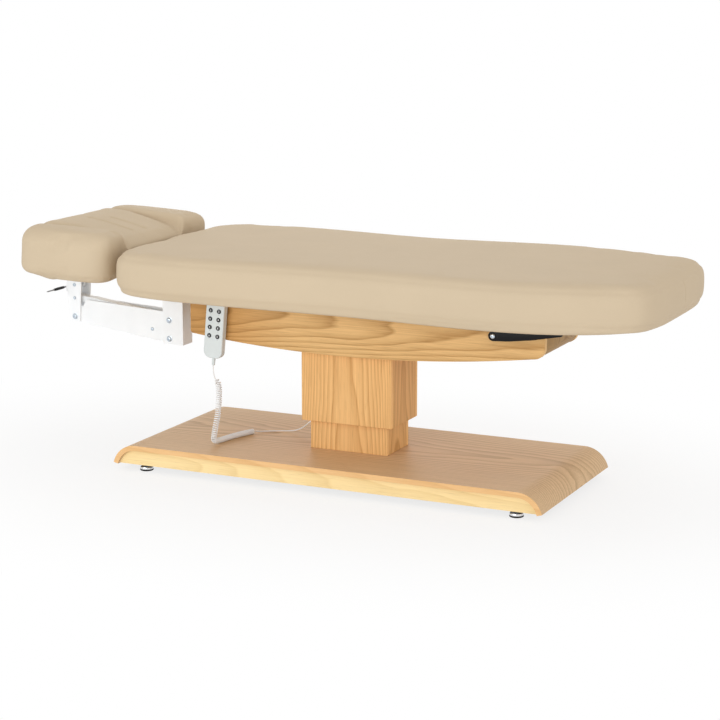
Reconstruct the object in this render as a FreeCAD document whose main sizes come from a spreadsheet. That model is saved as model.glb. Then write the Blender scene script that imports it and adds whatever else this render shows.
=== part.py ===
import FreeCAD, Part
import math
import os
import re

import Sketcher
from FreeCAD import Placement, Rotation, Vector

# Massage bed on a telescopic wooden column, with a cushioned head section on a parallel arm.
# Millimetres. +Z is up, +X points to the foot end, -Y is the side with the hand control.
# The pieces are drawn about the column's middle and moved at the end, so that the origin is on the
# floor in the middle of the whole length.

SIZES = {
    # plinth
    "base_length": 1340, "base_width": 560, "base_top_z": 80, "sheet_thick": 15,
    "bend_radius": 75, "bend_angle": 75, "rail_inset": 10, "rail_thick": 20, "rail_bottom_z": 22,
    "plate_thick": 8, "plate_end_gap": 70, "plate_z": 26,
    "foot_inset_x": 88, "foot_inset_y": 42, "foot_radius": 20, "foot_height": 16, "foot_stud_radius": 5,
    "foot_nut_radius": 8.5, "foot_nut_height": 6,
    # column
    "column_length": 245, "column_width": 150, "column_top_z": 470, "board_thick": 14,
    "sleeve_gap_x": 6, "sleeve_gap_y": 4, "sleeve_bottom_z": 165,
    "guide_length": 100, "guide_width": 80, "guide_wall": 3, "guide_top_z": 440,
    "slide_gap": 2, "slide_bottom_z": 70, "liner_height": 60, "running_gap": 0.3,
    "motor_radius": 22, "motor_top_z": 360, "ram_radius": 10, "ram_bottom_z": 60,
    "lift_plate_length": 420, "lift_plate_thick": 6,
    # beam under the top
    "beam_head_x": -482, "beam_foot_x": 585, "beam_width": 280, "beam_thick": 18,
    "beam_low_z": 375, "beam_bow_radius": 4080, "beam_skin": 9, "beam_corner": 8, "beam_end_inset": 2,
    "box_length": 210, "box_width": 150, "box_height": 55, "box_gap": 10,
    # top
    "bed_bottom_z": 537, "bed_thick": 126, "bed_head_x": -660, "bed_foot_x": 965,
    "shoulder_width": 780, "waist_width": 728, "hip_width": 768, "foot_width": 640,
    "bed_round": 42, "top_board_thick": 15, "top_board_head_x": -642, "top_board_foot_x": 880,
    "top_board_width": 540, "top_board_corner": 190,
    # foot-end lever
    "lever_x": 471, "lever_z": 474, "lever_reach": 196, "lever_rise": 6, "lever_eye": 14,
    "lever_tip": 6, "lever_thick": 8, "lever_gap": 2, "lever_bolt": 4, "bolt_head": 7,
    # head arm
    "arm_near_x": -620, "arm_near_z": 353, "arm_span_x": 333, "arm_rise": 43, "arm_pitch": 57,
    "hanger_head": 22, "hanger_foot": 47, "hanger_low_z": 336, "bracket_wall": 4,
    "bracket_half_width": 28, "channel_wall": 3, "channel_low": 15, "channel_near_high": 78,
    "channel_far_high": 58,
    "channel_end": 15, "channel_notch_high": 36, "channel_notch": 22, "channel_slope": 10,
    "link_height": 18,
    "link_width": 30, "link_end": 12, "pivot_radius": 5, "pivot_head": 8.5, "pivot_head_height": 4,
    "carrier_foot_wide": 17, "carrier_low": 15, "carrier_top_z": 530, "carrier_top_head": 30,
    "carrier_top_foot": 26,
    # head rest
    "rest_head_x": -1000, "rest_gap": 10, "rest_bottom_z": 566, "rest_thick": 143, "rest_lean": 2.5,
    "rest_width": 666, "rest_lobe": 3, "rest_round": 32, "rest_board_thick": 12,
    "rest_board_margin": 85, "tilt_z": 494, "lug_thick": 10, "lug_half_gap": 9, "lug_radius": 13,
    "lug_foot_length": 120,
    # release handle of the head rest
    "handle_z": 484, "handle_radius": 2.8, "handle_length": 124, "handle_grip_radius": 4.6,
    "handle_grip_length": 66, "handle_eye": 7,
    # hand control
    "hand_x": -382, "hand_top_z": 506, "hand_width": 60, "hand_height": 168, "hand_thick": 22,
    "hand_wall": 2.2, "hand_lean": 5, "hand_low_round": 20, "hand_top_round": 7,
    "key_radius": 6.5, "key_gap": 0.3, "key_proud": 1.5, "key_travel": 1.2, "key_stem": 5,
    "key_pitch_x": 27, "key_pitch_z": 25, "key_first": 26, "hook_thick": 6, "hook_height": 40,
    "hook_width": 36, "relief_length": 23, "relief_top": 5.5, "relief_low": 4,
    # cord
    "lead_radius": 2.5, "curl_radius": 8.5, "gland_radius": 6, "gland_length": 8, "gland_y": 8,
    "gland_z": 150, "cord_clear": 0.3,
    # edges
    "board_round": 1.5,
}

# Sizes that follow from the driving ones.
DERIVED = {
    "bend_centre_x": "base_length / 2 - bend_radius * sin(bend_angle * 1deg)",
    "bend_centre_z": "base_top_z - bend_radius",
    "bend_inner": "bend_radius - sheet_thick",
    "sheet_bottom_z": "base_top_z - sheet_thick",
    "rail_y": "base_width / 2 - rail_inset - rail_thick",
    "foot_x": "base_length / 2 - foot_inset_x",
    "foot_y": "base_width / 2 - foot_inset_y",
    "sleeve_inner_length": "column_length + 2 * sleeve_gap_x",
    "sleeve_inner_width": "column_width + 2 * sleeve_gap_y",
    "sleeve_length": "sleeve_inner_length + 2 * board_thick",
    "sleeve_width": "sleeve_inner_width + 2 * board_thick",
    "lift_plate_z": "bed_bottom_z - lift_plate_thick",
    "slide_length": "guide_length - 2 * guide_wall - 2 * slide_gap",
    "slide_width": "guide_width - 2 * guide_wall - 2 * slide_gap",
    "beam_length": "beam_foot_x - beam_head_x",
    "beam_inner_width": "beam_width - 2 * beam_thick",
    "beam_height": "bed_bottom_z - beam_low_z",
    "rest_top_shift": "(rest_bottom_z + rest_thick - tilt_z) * sin(rest_lean * 1deg)",
    "rest_foot_x": "bed_head_x - rest_gap - rest_top_shift",
    "rest_length": "rest_foot_x - rest_head_x",
    "hanger_head_x": "arm_near_x - hanger_head",
    "hanger_foot_x": "arm_near_x + hanger_foot",
    "arm_far_x": "arm_near_x - arm_span_x",
    "arm_far_z": "arm_near_z + arm_rise",
    "channel_half_width": "bracket_half_width - bracket_wall - running_gap",
    "tilt_x": "arm_far_x",
    "hand_back_y": "-beam_width / 2 - hook_thick",
    "hand_front_y": "hand_back_y - hand_thick",
    "hand_split_y": "hand_back_y - hand_thick / 2",
    "hand_low_z": "hand_top_z - hand_height",
    "handle_x": "arm_far_x - carrier_top_head - handle_eye - running_gap",
    "head_end_x": "handle_x - handle_eye",
}

TURN_Y = Rotation(Vector(1, 0, 0), -90)
TURN_HEAD = Rotation(Vector(0, 1, 0), -90)

doc = FreeCAD.newDocument("massage_bed")
sheet = doc.addObject("Spreadsheet::Sheet", "Sizes")
for row, (alias, number) in enumerate(SIZES.items(), start=1):
    sheet.set(f"A{row}", alias)
    sheet.set(f"B{row}", str(number))
    sheet.setAlias(f"B{row}", alias)
doc.recompute()
parts = {}


def text(expression):
    """An expression in size names, written out for the document's own expression engine."""
    def spell(found):
        name = found.group(0)
        if name in DERIVED:
            return "(" + text(DERIVED[name]) + ")"
        return "Sizes." + name if name in SIZES else name
    return re.sub(r"[a-z][a-z_]*", spell, str(expression))


def value(expression):
    """The number that an expression in size names gives now."""
    return float(sheet.evalExpression(text(expression)))


def point(*expressions):
    return Vector(*[value(e) for e in expressions])


def keep(label, piece):
    """Makes a document object one of the sub-parts, under its own name."""
    piece.Label = label
    parts[label] = piece
    return piece


def bind(piece, **expressions):
    for name, expression in expressions.items():
        piece.setExpression(name, text(expression))
    return piece


def place(piece, corner):
    for axis, expression in zip("xyz", corner):
        piece.setExpression("Placement.Base." + axis, text(expression))
    return piece


def box(size, corner):
    piece = doc.addObject("Part::Box", "Block")
    bind(piece, Length=size[0], Width=size[1], Height=size[2])
    return place(piece, corner)


def rod(radius, length, start, turn=Rotation()):
    piece = doc.addObject("Part::Cylinder", "Rod")
    bind(piece, Radius=radius, Height=length)
    piece.Placement = Placement(Vector(), turn)
    return place(piece, start)


def cone(low, high, length, start):
    piece = doc.addObject("Part::Cone", "Taper")
    bind(piece, Radius1=low, Radius2=high, Height=length)
    return place(piece, start)


def cut(base, *tools):
    for tool in tools:
        piece = doc.addObject("Part::Cut", "Cut")
        piece.Base, piece.Tool = base, tool
        base = piece
    return base


def fuse(*pieces):
    piece = doc.addObject("Part::MultiFuse", "Fuse")
    piece.Shapes = list(pieces)
    piece.Refine = True
    return piece


def common(*pieces):
    piece = doc.addObject("Part::MultiCommon", "Common")
    piece.Shapes = list(pieces)
    return piece


def group(*pieces):
    piece = doc.addObject("Part::Compound", "Group")
    piece.Links = list(pieces)
    return piece


def rounded(base, *rounds):
    """Rounds edges of a piece. Each round is a radius and a test of an edge."""
    doc.recompute()
    edges = []
    for number, edge in enumerate(base.Shape.Edges, start=1):
        radius = next((value(r) for r, wanted in rounds if wanted(edge)), None)
        if radius:
            edges.append((number, radius, radius))
    piece = doc.addObject("Part::Fillet", "Rounded")
    piece.Base, piece.Edges = base, edges
    return piece


def along(axis):
    """A test for straight edges that run along one axis."""
    def wanted(edge):
        ends = [v.Point for v in edge.Vertexes]
        run = ends[-1] - ends[0]
        return abs(getattr(run, axis)) > 0.999 * run.Length > 0
    return wanted


def any_edge(edge):
    return True


def plate(outline, thickness, face_y):
    """A flat plate in the XZ plane, from face_y towards -Y, with every corner bound to the sheet."""
    body = doc.addObject("PartDesign::Body", "Plate")
    sketch = body.newObject("Sketcher::SketchObject", "Outline")
    upright = next(f for f in body.Origin.OriginFeatures if f.Role == "XZ_Plane")
    sketch.AttachmentSupport = [(upright, "")]
    sketch.MapMode = "FlatFace"
    corners = [point(across, up, 0) for across, up in outline]
    count = len(corners)
    for i in range(count):
        sketch.addGeometry(Part.LineSegment(corners[i], corners[(i + 1) % count]), False)
    for i in range(count):
        sketch.addConstraint(Sketcher.Constraint("Coincident", i, 2, (i + 1) % count, 1))
    for i, pair in enumerate(outline):
        for kind, expression in zip(("DistanceX", "DistanceY"), pair):
            rule = Sketcher.Constraint(kind, -1, 1, i, 1, value(expression))
            number = sketch.addConstraint(rule)
            sketch.setExpression(f"Constraints[{number}]", text(expression))
    pad = body.newObject("PartDesign::Pad", "Pad")
    pad.Profile = sketch
    pad.setExpression("Length", text(thickness))
    body.setExpression("Placement.Base.y", text(face_y))
    return body


def lean(labels, centre, degrees):
    """Leans sub-parts about an axis along Y through a point."""
    for label in labels:
        piece = group(parts[label])
        piece.Placement = Placement(Vector(), Rotation(Vector(0, 1, 0), degrees), centre)
        keep(label, piece)


def board(size, corner, *extra):
    """A wooden board with its edges broken."""
    return rounded(box(size, corner), *extra, ("board_round", any_edge))


def plinth():
    ends = []
    for side in (1, -1):
        turn = Rotation(Vector(0, 0, 1), Vector(side, 0, 0), Vector(0, side, 0), "XYZ")
        start = (f"{side} * bend_centre_x", f"{-side} * base_width / 2", "bend_centre_z")
        outer, inner = (rod(r, "base_width", start, turn) for r in ("bend_radius", "bend_inner"))
        bind(outer, Angle="bend_angle")
        ends.append(cut(outer, inner))
    flat = box(
        ("2 * bend_centre_x", "base_width", "sheet_thick"),
        ("-bend_centre_x", "-base_width / 2", "sheet_bottom_z"),
    )
    well = box(
        ("guide_length + 2 * running_gap", "guide_width + 2 * running_gap", "3 * sheet_thick"),
        ("-guide_length / 2 - running_gap", "-guide_width / 2 - running_gap", "base_top_z - 2 * sheet_thick"),
    )
    keep("base_top_sheet", cut(fuse(flat, *ends), well))

    for label, rail_side in (("base_near_rail", -1), ("base_far_rail", 1)):
        low_y = "rail_y" if rail_side > 0 else "-rail_y - rail_thick"
        long_box = box(
            ("base_length", "rail_thick", "sheet_bottom_z - rail_bottom_z"),
            ("-base_length / 2", low_y, "rail_bottom_z"),
        )
        middle = box(
            ("2 * bend_centre_x", "rail_thick", "sheet_bottom_z"),
            ("-bend_centre_x", low_y, "0"),
        )
        centres = [(f"{end} * bend_centre_x", low_y, "bend_centre_z") for end in (1, -1)]
        rounds = [rod("bend_inner - running_gap", "rail_thick", centre, TURN_Y) for centre in centres]
        keep(label, common(long_box, fuse(middle, *rounds)))

    plate_box = box(
        ("base_length - 2 * plate_end_gap", "2 * rail_y", "plate_thick"),
        ("plate_end_gap - base_length / 2", "-rail_y", "plate_z"),
    )
    corners = [(x, y) for x in ("foot_x", "-foot_x") for y in ("foot_y", "-foot_y")]
    holes = [rod("foot_stud_radius", "plate_thick", (x, y, "plate_z")) for x, y in corners]
    keep("base_plate", cut(plate_box, *holes))
    pads = [rod("foot_radius", "foot_height", (x, y, "0")) for x, y in corners]
    keep("levelling_foot_pads", group(*[rounded(p, ("board_round", any_edge)) for p in pads]))
    stud_length = "plate_z + plate_thick + foot_nut_height - foot_height"
    studs = [rod("foot_stud_radius", stud_length, (x, y, "foot_height")) for x, y in corners]
    nuts = [
        cut(
            rod("foot_nut_radius", "foot_nut_height", (x, y, "plate_z + plate_thick")),
            rod("foot_stud_radius", "foot_nut_height", (x, y, "plate_z + plate_thick")),
        )
        for x, y in corners
    ]
    keep("levelling_foot_studs", group(*studs, *nuts))


def casing(prefix, length, width, low, high):
    """Four boards round a square shaft: two long faces over two short ones."""
    for side, sign in (("near", -1), ("far", 1)):
        y = f"{width} / 2 - board_thick" if sign > 0 else f"-({width}) / 2"
        face = board((length, "board_thick", f"{high} - {low}"), (f"-({length}) / 2", y, low))
        keep(f"{prefix}_{side}_board", face)
    for side, sign in (("head", -1), ("foot", 1)):
        x = f"{length} / 2 - board_thick" if sign > 0 else f"-({length}) / 2"
        keep(
            f"{prefix}_{side}_board",
            board(
                ("board_thick", f"{width} - 2 * board_thick", f"{high} - {low}"),
                (x, f"board_thick - ({width}) / 2", low),
            ),
        )


def tube(length, width, wall, low, high):
    outer = box((length, width, f"{high} - {low}"), (f"-({length}) / 2", f"-({width}) / 2", low))
    inner = box(
        (f"{length} - 2 * {wall}", f"{width} - 2 * {wall}", f"{high} - {low}"),
        (f"{wall} - ({length}) / 2", f"{wall} - ({width}) / 2", low),
    )
    return cut(outer, inner)


def column():
    casing("column", "column_length", "column_width", "base_top_z", "column_top_z")
    casing("sleeve", "sleeve_length", "sleeve_width", "sleeve_bottom_z", "lift_plate_z")
    plate_top = "plate_z + plate_thick"
    keep("column_guide_tube", tube("guide_length", "guide_width", "guide_wall", plate_top, "guide_top_z"))
    slide = tube("slide_length", "slide_width", "guide_wall", "slide_bottom_z", "lift_plate_z")
    keep("column_slide_tube", slide)
    liner = "slide_gap - running_gap"
    liner_z = "guide_top_z - liner_height"
    liners = []
    for sign in (1, -1):
        x = "slide_length / 2 + running_gap" if sign > 0 else "-slide_length / 2 - slide_gap"
        y = "slide_width / 2 + running_gap" if sign > 0 else "-slide_width / 2 - slide_gap"
        liners.append(box((liner, "slide_width / 2", "liner_height"), (x, "-slide_width / 4", liner_z)))
        liners.append(box(("slide_length / 2", liner, "liner_height"), ("-slide_length / 4", y, liner_z)))
    keep("column_glide_liners", group(*liners))
    motor = rod("motor_radius", f"motor_top_z - ({plate_top})", ("0", "0", plate_top))
    bore = rod("ram_radius + running_gap", "motor_top_z - ram_bottom_z", ("0", "0", "ram_bottom_z"))
    keep("lift_motor_tube", cut(motor, bore))
    ram_length = "lift_plate_z - ram_bottom_z - running_gap"
    keep("lift_motor_ram", rod("ram_radius", ram_length, ("0", "0", "ram_bottom_z + running_gap")))
    keep(
        "lift_plate",
        box(
            ("lift_plate_length", "beam_inner_width", "lift_plate_thick"),
            ("-lift_plate_length / 2", "-beam_inner_width / 2", "lift_plate_z"),
        ),
    )


def bow(inset="0"):
    """The long drum whose underside gives the beam its bowed lower edge."""
    centre_z = "beam_low_z + beam_bow_radius"
    return rod(f"beam_bow_radius - {inset}", "2 * beam_width", ("0", "-beam_width", centre_z), TURN_Y)


def beam():
    middle_z = value("beam_low_z + beam_height / 2")

    def low_end(edge):
        return along("y")(edge) and edge.CenterOfMass.z < middle_z and len(edge.Vertexes) == 2

    side_size = ("beam_length", "beam_thick", "beam_height")
    near_y, far_y = "-beam_width / 2", "beam_width / 2 - beam_thick"
    near, far = (common(box(side_size, ("beam_head_x", y, "beam_low_z")), bow()) for y in (near_y, far_y))
    near = cut(near, rod("lever_bolt", "beam_thick", ("lever_x", near_y, "lever_z"), TURN_Y))
    keep("beam_near_side", rounded(near, ("beam_corner", low_end)))
    keep("beam_far_side", rounded(far, ("beam_corner", low_end)))
    inset_x = "beam_head_x + beam_end_inset"
    inside = ("beam_length - 2 * beam_end_inset", "beam_inner_width", "beam_height")

    def filling():
        """What the space between the two sides holds, down to the bowed edge and its round ends."""
        block = box(inside, (inset_x, "-beam_inner_width / 2", "beam_low_z"))
        return rounded(common(block, bow()), ("beam_corner", low_end))

    end_size = ("beam_thick", "beam_inner_width", "beam_height")
    end_places = {"beam_head_end": inset_x, "beam_foot_end": "beam_foot_x - beam_end_inset - beam_thick"}
    for label, x in end_places.items():
        end = box(end_size, (x, "-beam_inner_width / 2", "beam_low_z"))
        keep(label, common(filling(), end))
    skin = box(
        ("beam_length - 2 * beam_end_inset - 2 * beam_thick", "beam_inner_width", "beam_height"),
        (f"{inset_x} + beam_thick", "-beam_inner_width / 2", "beam_low_z"),
    )
    opening = box(
        ("sleeve_length", "sleeve_width", "beam_height"),
        ("-sleeve_length / 2", "-sleeve_width / 2", "beam_low_z"),
    )
    keep("beam_bottom_skin", cut(common(skin, filling()), bow("beam_skin"), opening))
    keep(
        "control_box",
        rounded(
            box(
                ("box_length", "box_width", "box_height"),
                ("lift_plate_length / 2 + box_gap", "-box_width / 2", "bed_bottom_z - box_height"),
            ),
            ("2 * board_round", along("z")),
        ),
    )


def pad(near, thick, round_size, bottom_z):
    """A cushion from the points of its near side, mirrored, with its edges rounded."""
    far = [Vector(p.x, -p.y, 0) for p in near[-2:0:-1]]
    outline = Part.BSplineCurve()
    outline.interpolate(near + far, PeriodicFlag=True)
    face = Part.Face(Part.Wire(outline.toShape()))
    slab = face.extrude(Vector(0, 0, value(thick)))
    slab = slab.makeFillet(value(round_size), [e for e in slab.Edges if not along("z")(e)])
    raw = doc.addObject("Part::Feature", "Pad")
    raw.Shape = slab
    raw.Placement = Placement(Vector(0, 0, value(bottom_z)), Rotation())
    return raw


def top():
    def panel():
        """The board under the cushion, rounded at its head end as the cushion is."""
        length = "top_board_foot_x - top_board_head_x"
        size = (length, "top_board_width", "top_board_thick")
        slab = box(size, ("top_board_head_x", "-top_board_width / 2", "bed_bottom_z"))
        return rounded(slab, ("top_board_corner", lambda e: along("z")(e) and e.CenterOfMass.x < 0))

    keep("top_board", panel())
    head, foot = value("bed_head_x"), value("bed_foot_x")
    length = foot - head
    shoulder, waist, hip, tip = (value(name + "_width") / 2 for name in ("shoulder", "waist", "hip", "foot"))
    near = [
        Vector(head, 0, 0),
        Vector(head + 0.002 * length, -0.42 * shoulder, 0),
        Vector(head + 0.011 * length, -0.695 * shoulder, 0),
        Vector(head + 0.041 * length, -0.883 * shoulder, 0),
        Vector(head + 0.102 * length, -0.978 * shoulder, 0),
        Vector(head + 0.2 * length, -shoulder, 0),
        Vector(head + 0.49 * length, -waist, 0),
        Vector(head + 0.75 * length, -hip, 0),
        Vector(foot - 0.07 * length, -tip, 0),
        Vector(foot - 0.023 * length, -0.87 * tip, 0),
        Vector(foot - 0.004 * length, -0.58 * tip, 0),
        Vector(foot, 0, 0),
    ]
    keep("bed_cushion", cut(pad(near, "bed_thick", "bed_round", "bed_bottom_z"), panel()))


def lever():
    """A flat lever on the near side of the beam, tapering from its eye to its tip."""
    reach, eye, tip = value("lever_reach"), value("lever_eye"), value("lever_tip")
    slope = math.asin((eye - tip) / reach)
    across, up = math.sin(slope), math.cos(slope)
    eye_top, eye_low = Vector(eye * across, 0, eye * up), Vector(eye * across, 0, -eye * up)
    tip_top, tip_low = Vector(reach + tip * across, 0, tip * up), Vector(reach + tip * across, 0, -tip * up)
    outline = Part.Wire([
        Part.LineSegment(eye_top, tip_top).toShape(),
        Part.Arc(tip_top, Vector(reach + tip, 0, 0), tip_low).toShape(),
        Part.LineSegment(tip_low, eye_low).toShape(),
        Part.Arc(eye_low, Vector(-eye, 0, 0), eye_top).toShape(),
    ])
    bar = Part.Face(outline).extrude(Vector(0, value("lever_thick"), 0))
    hole_radius = value("lever_bolt + running_gap")
    hole = Part.makeCylinder(hole_radius, value("lever_thick"), Vector(), Vector(0, 1, 0))
    piece = doc.addObject("Part::Feature", "Lever")
    piece.Shape = bar.cut(hole)
    outer_y = "-beam_width / 2 - lever_gap - lever_thick"
    rise = Rotation(Vector(0, 1, 0), -value("lever_rise"))
    piece.Placement = Placement(point("lever_x", outer_y, "lever_z"), rise)
    keep("foot_lever", piece)
    spacer_start = ("lever_x", "-beam_width / 2 - lever_gap + running_gap", "lever_z")
    spacer = cut(
        rod("bolt_head", "lever_gap - running_gap", spacer_start, TURN_Y),
        rod("lever_bolt", "lever_gap - running_gap", spacer_start, TURN_Y),
    )
    shank_length = "lever_thick + lever_gap + beam_thick + running_gap"
    shank = rod("lever_bolt", shank_length, ("lever_x", f"{outer_y} - running_gap", "lever_z"), TURN_Y)
    head_y = f"{outer_y} - running_gap - lever_bolt"
    head = rod("bolt_head", "lever_bolt", ("lever_x", head_y, "lever_z"), TURN_Y)
    bolt = fuse(shank, rounded(head, ("board_round", any_edge)))
    keep("foot_lever_bolt", group(bolt, spacer))


def pivot(x, z):
    """A through bolt along Y, with a head outside each bracket wall."""
    half = "bracket_half_width"
    shank = rod("pivot_radius", f"2 * {half}", (x, f"-{half}", z), TURN_Y)
    heads = [
        rounded(rod("pivot_head", "pivot_head_height", (x, y, z), TURN_Y), ("board_round", any_edge))
        for y in (f"-{half} - pivot_head_height", half)
    ]
    return fuse(shank, *heads)


def bolt_hole(x, z, radius="pivot_radius"):
    return rod(radius, "4 * bracket_half_width", (x, "-2 * bracket_half_width", z), TURN_Y)


def wall_pair(outline, wall, half_width):
    """Two like plates, facing each other across the middle plane."""
    return plate(outline, wall, f"{half_width}"), plate(outline, wall, f"{wall} - ({half_width})")


def head_arm():
    near_top, far_top = "arm_near_z + arm_pitch", "arm_far_z + arm_pitch"

    # hanger under the top board
    hanger = [
        ("hanger_head_x", "hanger_low_z"), ("hanger_foot_x", "hanger_low_z"),
        ("hanger_foot_x", "bed_bottom_z"), ("hanger_head_x", "bed_bottom_z"),
    ]
    walls = wall_pair(hanger, "bracket_wall", "bracket_half_width")
    web = box(
        ("bracket_wall", "2 * bracket_half_width", "bed_bottom_z - hanger_low_z"),
        ("hanger_foot_x - bracket_wall", "-bracket_half_width", "hanger_low_z"),
    )
    flange = box(
        ("hanger_foot_x - hanger_head_x", "2 * bracket_half_width", "bracket_wall"),
        ("hanger_head_x", "-bracket_half_width", "bed_bottom_z - bracket_wall"),
    )
    holes = [bolt_hole("arm_near_x", z) for z in ("arm_near_z", near_top)]
    keep("head_arm_hanger", cut(fuse(*walls, web, flange), *holes))
    keep("hanger_bolts", group(*[pivot("arm_near_x", z) for z in ("arm_near_z", near_top)]))

    # lower arm, an upturned channel, drawn level about its near pivot and then tilted
    span = "sqrt(arm_span_x * arm_span_x + arm_rise * arm_rise)"
    side = [
        ("-channel_end", "-channel_low"), ("-channel_end", "channel_notch_high"),
        ("channel_notch", "channel_notch_high"), ("channel_notch + channel_slope", "channel_near_high"),
        (f"{span} - channel_notch - channel_slope", "channel_far_high"),
        (f"{span} - channel_notch", "channel_notch_high"),
        (f"{span} + channel_end", "channel_notch_high"), (f"{span} + channel_end", "-channel_low"),
    ]
    side = [(f"-({across})", up) for across, up in side]
    walls = wall_pair(side, "channel_wall", "channel_half_width")
    floor = box(
        (f"{span} + 2 * channel_end", "2 * channel_half_width", "channel_wall"),
        (f"-({span}) - channel_end", "-(channel_half_width)", "-channel_low"),
    )
    bores = [bolt_hole(x, "0", "pivot_radius + running_gap") for x in ("0", f"-({span})")]
    channel = cut(fuse(*walls, floor), *bores)
    tilt = math.degrees(math.atan2(value("arm_rise"), value("arm_span_x")))
    rise = Rotation(Vector(0, 1, 0), tilt)
    channel.Placement = Placement(point("arm_near_x", 0, "arm_near_z"), rise)
    keep("head_arm_channel", channel)

    # upper link, a bar inside the channel
    bar = box(
        (f"{span} + 2 * link_end", "link_width", "link_height"),
        (f"-({span}) - link_end", "-link_width / 2", "-link_height / 2"),
    )
    bores = [bolt_hole(x, "0", "pivot_radius + running_gap") for x in ("0", f"-({span})")]
    link = cut(rounded(bar, ("link_height / 2 - board_round", along("y"))), *bores)
    link.Placement = Placement(point("arm_near_x", 0, near_top), rise)
    keep("head_arm_link", link)

    # carrier at the far end, which the arm keeps upright
    carrier = [
        ("arm_far_x - carrier_foot_wide", "arm_far_z - carrier_low"),
        ("arm_far_x + carrier_foot_wide", "arm_far_z - carrier_low"),
        ("arm_far_x + carrier_top_foot", "carrier_top_z"),
        ("arm_far_x - carrier_top_head", "carrier_top_z"),
    ]
    walls = wall_pair(carrier, "bracket_wall", "bracket_half_width")
    web = box(
        ("bracket_wall", "2 * bracket_half_width", "2 * handle_eye + 2 * bracket_wall"),
        ("arm_far_x - carrier_top_head", "-bracket_half_width", "handle_z - handle_eye - bracket_wall"),
    )
    holes = [bolt_hole("arm_far_x", z) for z in ("arm_far_z", far_top, "tilt_z")]
    keep("head_carrier", cut(fuse(*walls, web), *holes))
    keep("carrier_bolts", group(*[pivot("arm_far_x", z) for z in ("arm_far_z", far_top, "tilt_z")]))


def head_rest():
    margin = "rest_board_margin"
    board_size = (f"rest_length - 2 * {margin}", f"rest_width - 2 * {margin}", "rest_board_thick")
    board_corner = (f"rest_head_x + {margin}", f"{margin} - rest_width / 2", "rest_bottom_z")
    keep("rest_board", box(board_size, board_corner))
    head, foot, lobe = value("rest_head_x"), value("rest_foot_x"), value("rest_lobe")
    length, half = foot - head, value("rest_width") / 2
    near = [
        Vector(head, 0, 0),
        Vector(head + 0.015 * length, -0.36 * half, 0),
        Vector(head + 0.09 * length, -0.65 * half, 0),
        Vector(head + 0.25 * length, -0.86 * half, 0),
        Vector(head + 0.48 * length, -0.97 * half, 0),
        Vector(head + 0.74 * length, -half, 0),
        Vector(foot - 0.15 * length, -0.99 * half, 0),
        Vector(foot - 0.045 * length, -0.935 * half, 0),
        Vector(foot + 0.3 * lobe, -0.83 * half, 0),
        Vector(foot + lobe, -0.62 * half, 0),
        Vector(foot + 0.4 * lobe, -0.33 * half, 0),
        Vector(foot, 0, 0),
    ]
    cushion = pad(near, "rest_thick", "rest_round", "rest_bottom_z")
    keep("rest_cushion", cut(cushion, box(board_size, board_corner)))

    lug_top = "rest_bottom_z - tilt_z"
    lugs = []
    for low_y in ("lug_half_gap", "-lug_half_gap - lug_thick"):
        eye = rod("lug_radius", "lug_thick", ("tilt_x", low_y, "tilt_z"), TURN_Y)
        neck = box(("2 * lug_radius", "lug_thick", lug_top), ("tilt_x - lug_radius", low_y, "tilt_z"))
        lugs += [eye, neck]
    foot = box(
        ("lug_foot_length", "2 * lug_half_gap + 2 * lug_thick", "bracket_wall"),
        ("tilt_x - lug_radius", "-lug_half_gap - lug_thick", "rest_bottom_z - bracket_wall"),
    )
    keep("head_tilt_lug", cut(fuse(*lugs, foot), bolt_hole("tilt_x", "tilt_z", "pivot_radius + running_gap")))
    lean(("rest_board", "rest_cushion", "head_tilt_lug"), point("tilt_x", 0, "tilt_z"), value("rest_lean"))


def release_handle():
    eye = rod("handle_eye", "2 * handle_eye", ("handle_x", "-handle_eye", "handle_z"), TURN_Y)
    bar = rod("handle_radius", "handle_length", ("handle_x", "-handle_length", "handle_z"), TURN_Y)
    keep("release_handle", fuse(eye, bar))
    grip_y = "-handle_length - handle_radius"
    sleeve = rod("handle_grip_radius", "handle_grip_length", ("handle_x", grip_y, "handle_z"), TURN_Y)
    bore_start = ("handle_x", f"{grip_y} + handle_radius", "handle_z")
    bore = rod("handle_radius", "handle_grip_length", bore_start, TURN_Y)
    keep("release_handle_grip", cut(rounded(sleeve, ("board_round", any_edge)), bore))


def hand_shell(low_y, high_y, open_side):
    """One half of the hand control's case, hollow towards the other half."""
    depth = f"{high_y} - ({low_y})"
    low_x = "hand_x - hand_width / 2"
    middle_z = value("hand_top_z - hand_height / 2")
    outer = rounded(
        box(("hand_width", depth, "hand_height"), (low_x, low_y, "hand_low_z")),
        ("hand_low_round", lambda e: along("y")(e) and e.CenterOfMass.z < middle_z),
        ("hand_top_round", lambda e: along("y")(e) and e.CenterOfMass.z > middle_z),
    )
    inner_y = f"{low_y} + hand_wall" if open_side > 0 else low_y
    inner = rounded(
        box(
            ("hand_width - 2 * hand_wall", f"{depth} - hand_wall", "hand_height - 2 * hand_wall"),
            (f"{low_x} + hand_wall", inner_y, "hand_low_z + hand_wall"),
        ),
        ("hand_low_round - hand_wall", lambda e: along("y")(e) and e.CenterOfMass.z < middle_z),
        ("hand_top_round - hand_wall", lambda e: along("y")(e) and e.CenterOfMass.z > middle_z),
    )
    return cut(outer, inner)


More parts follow.
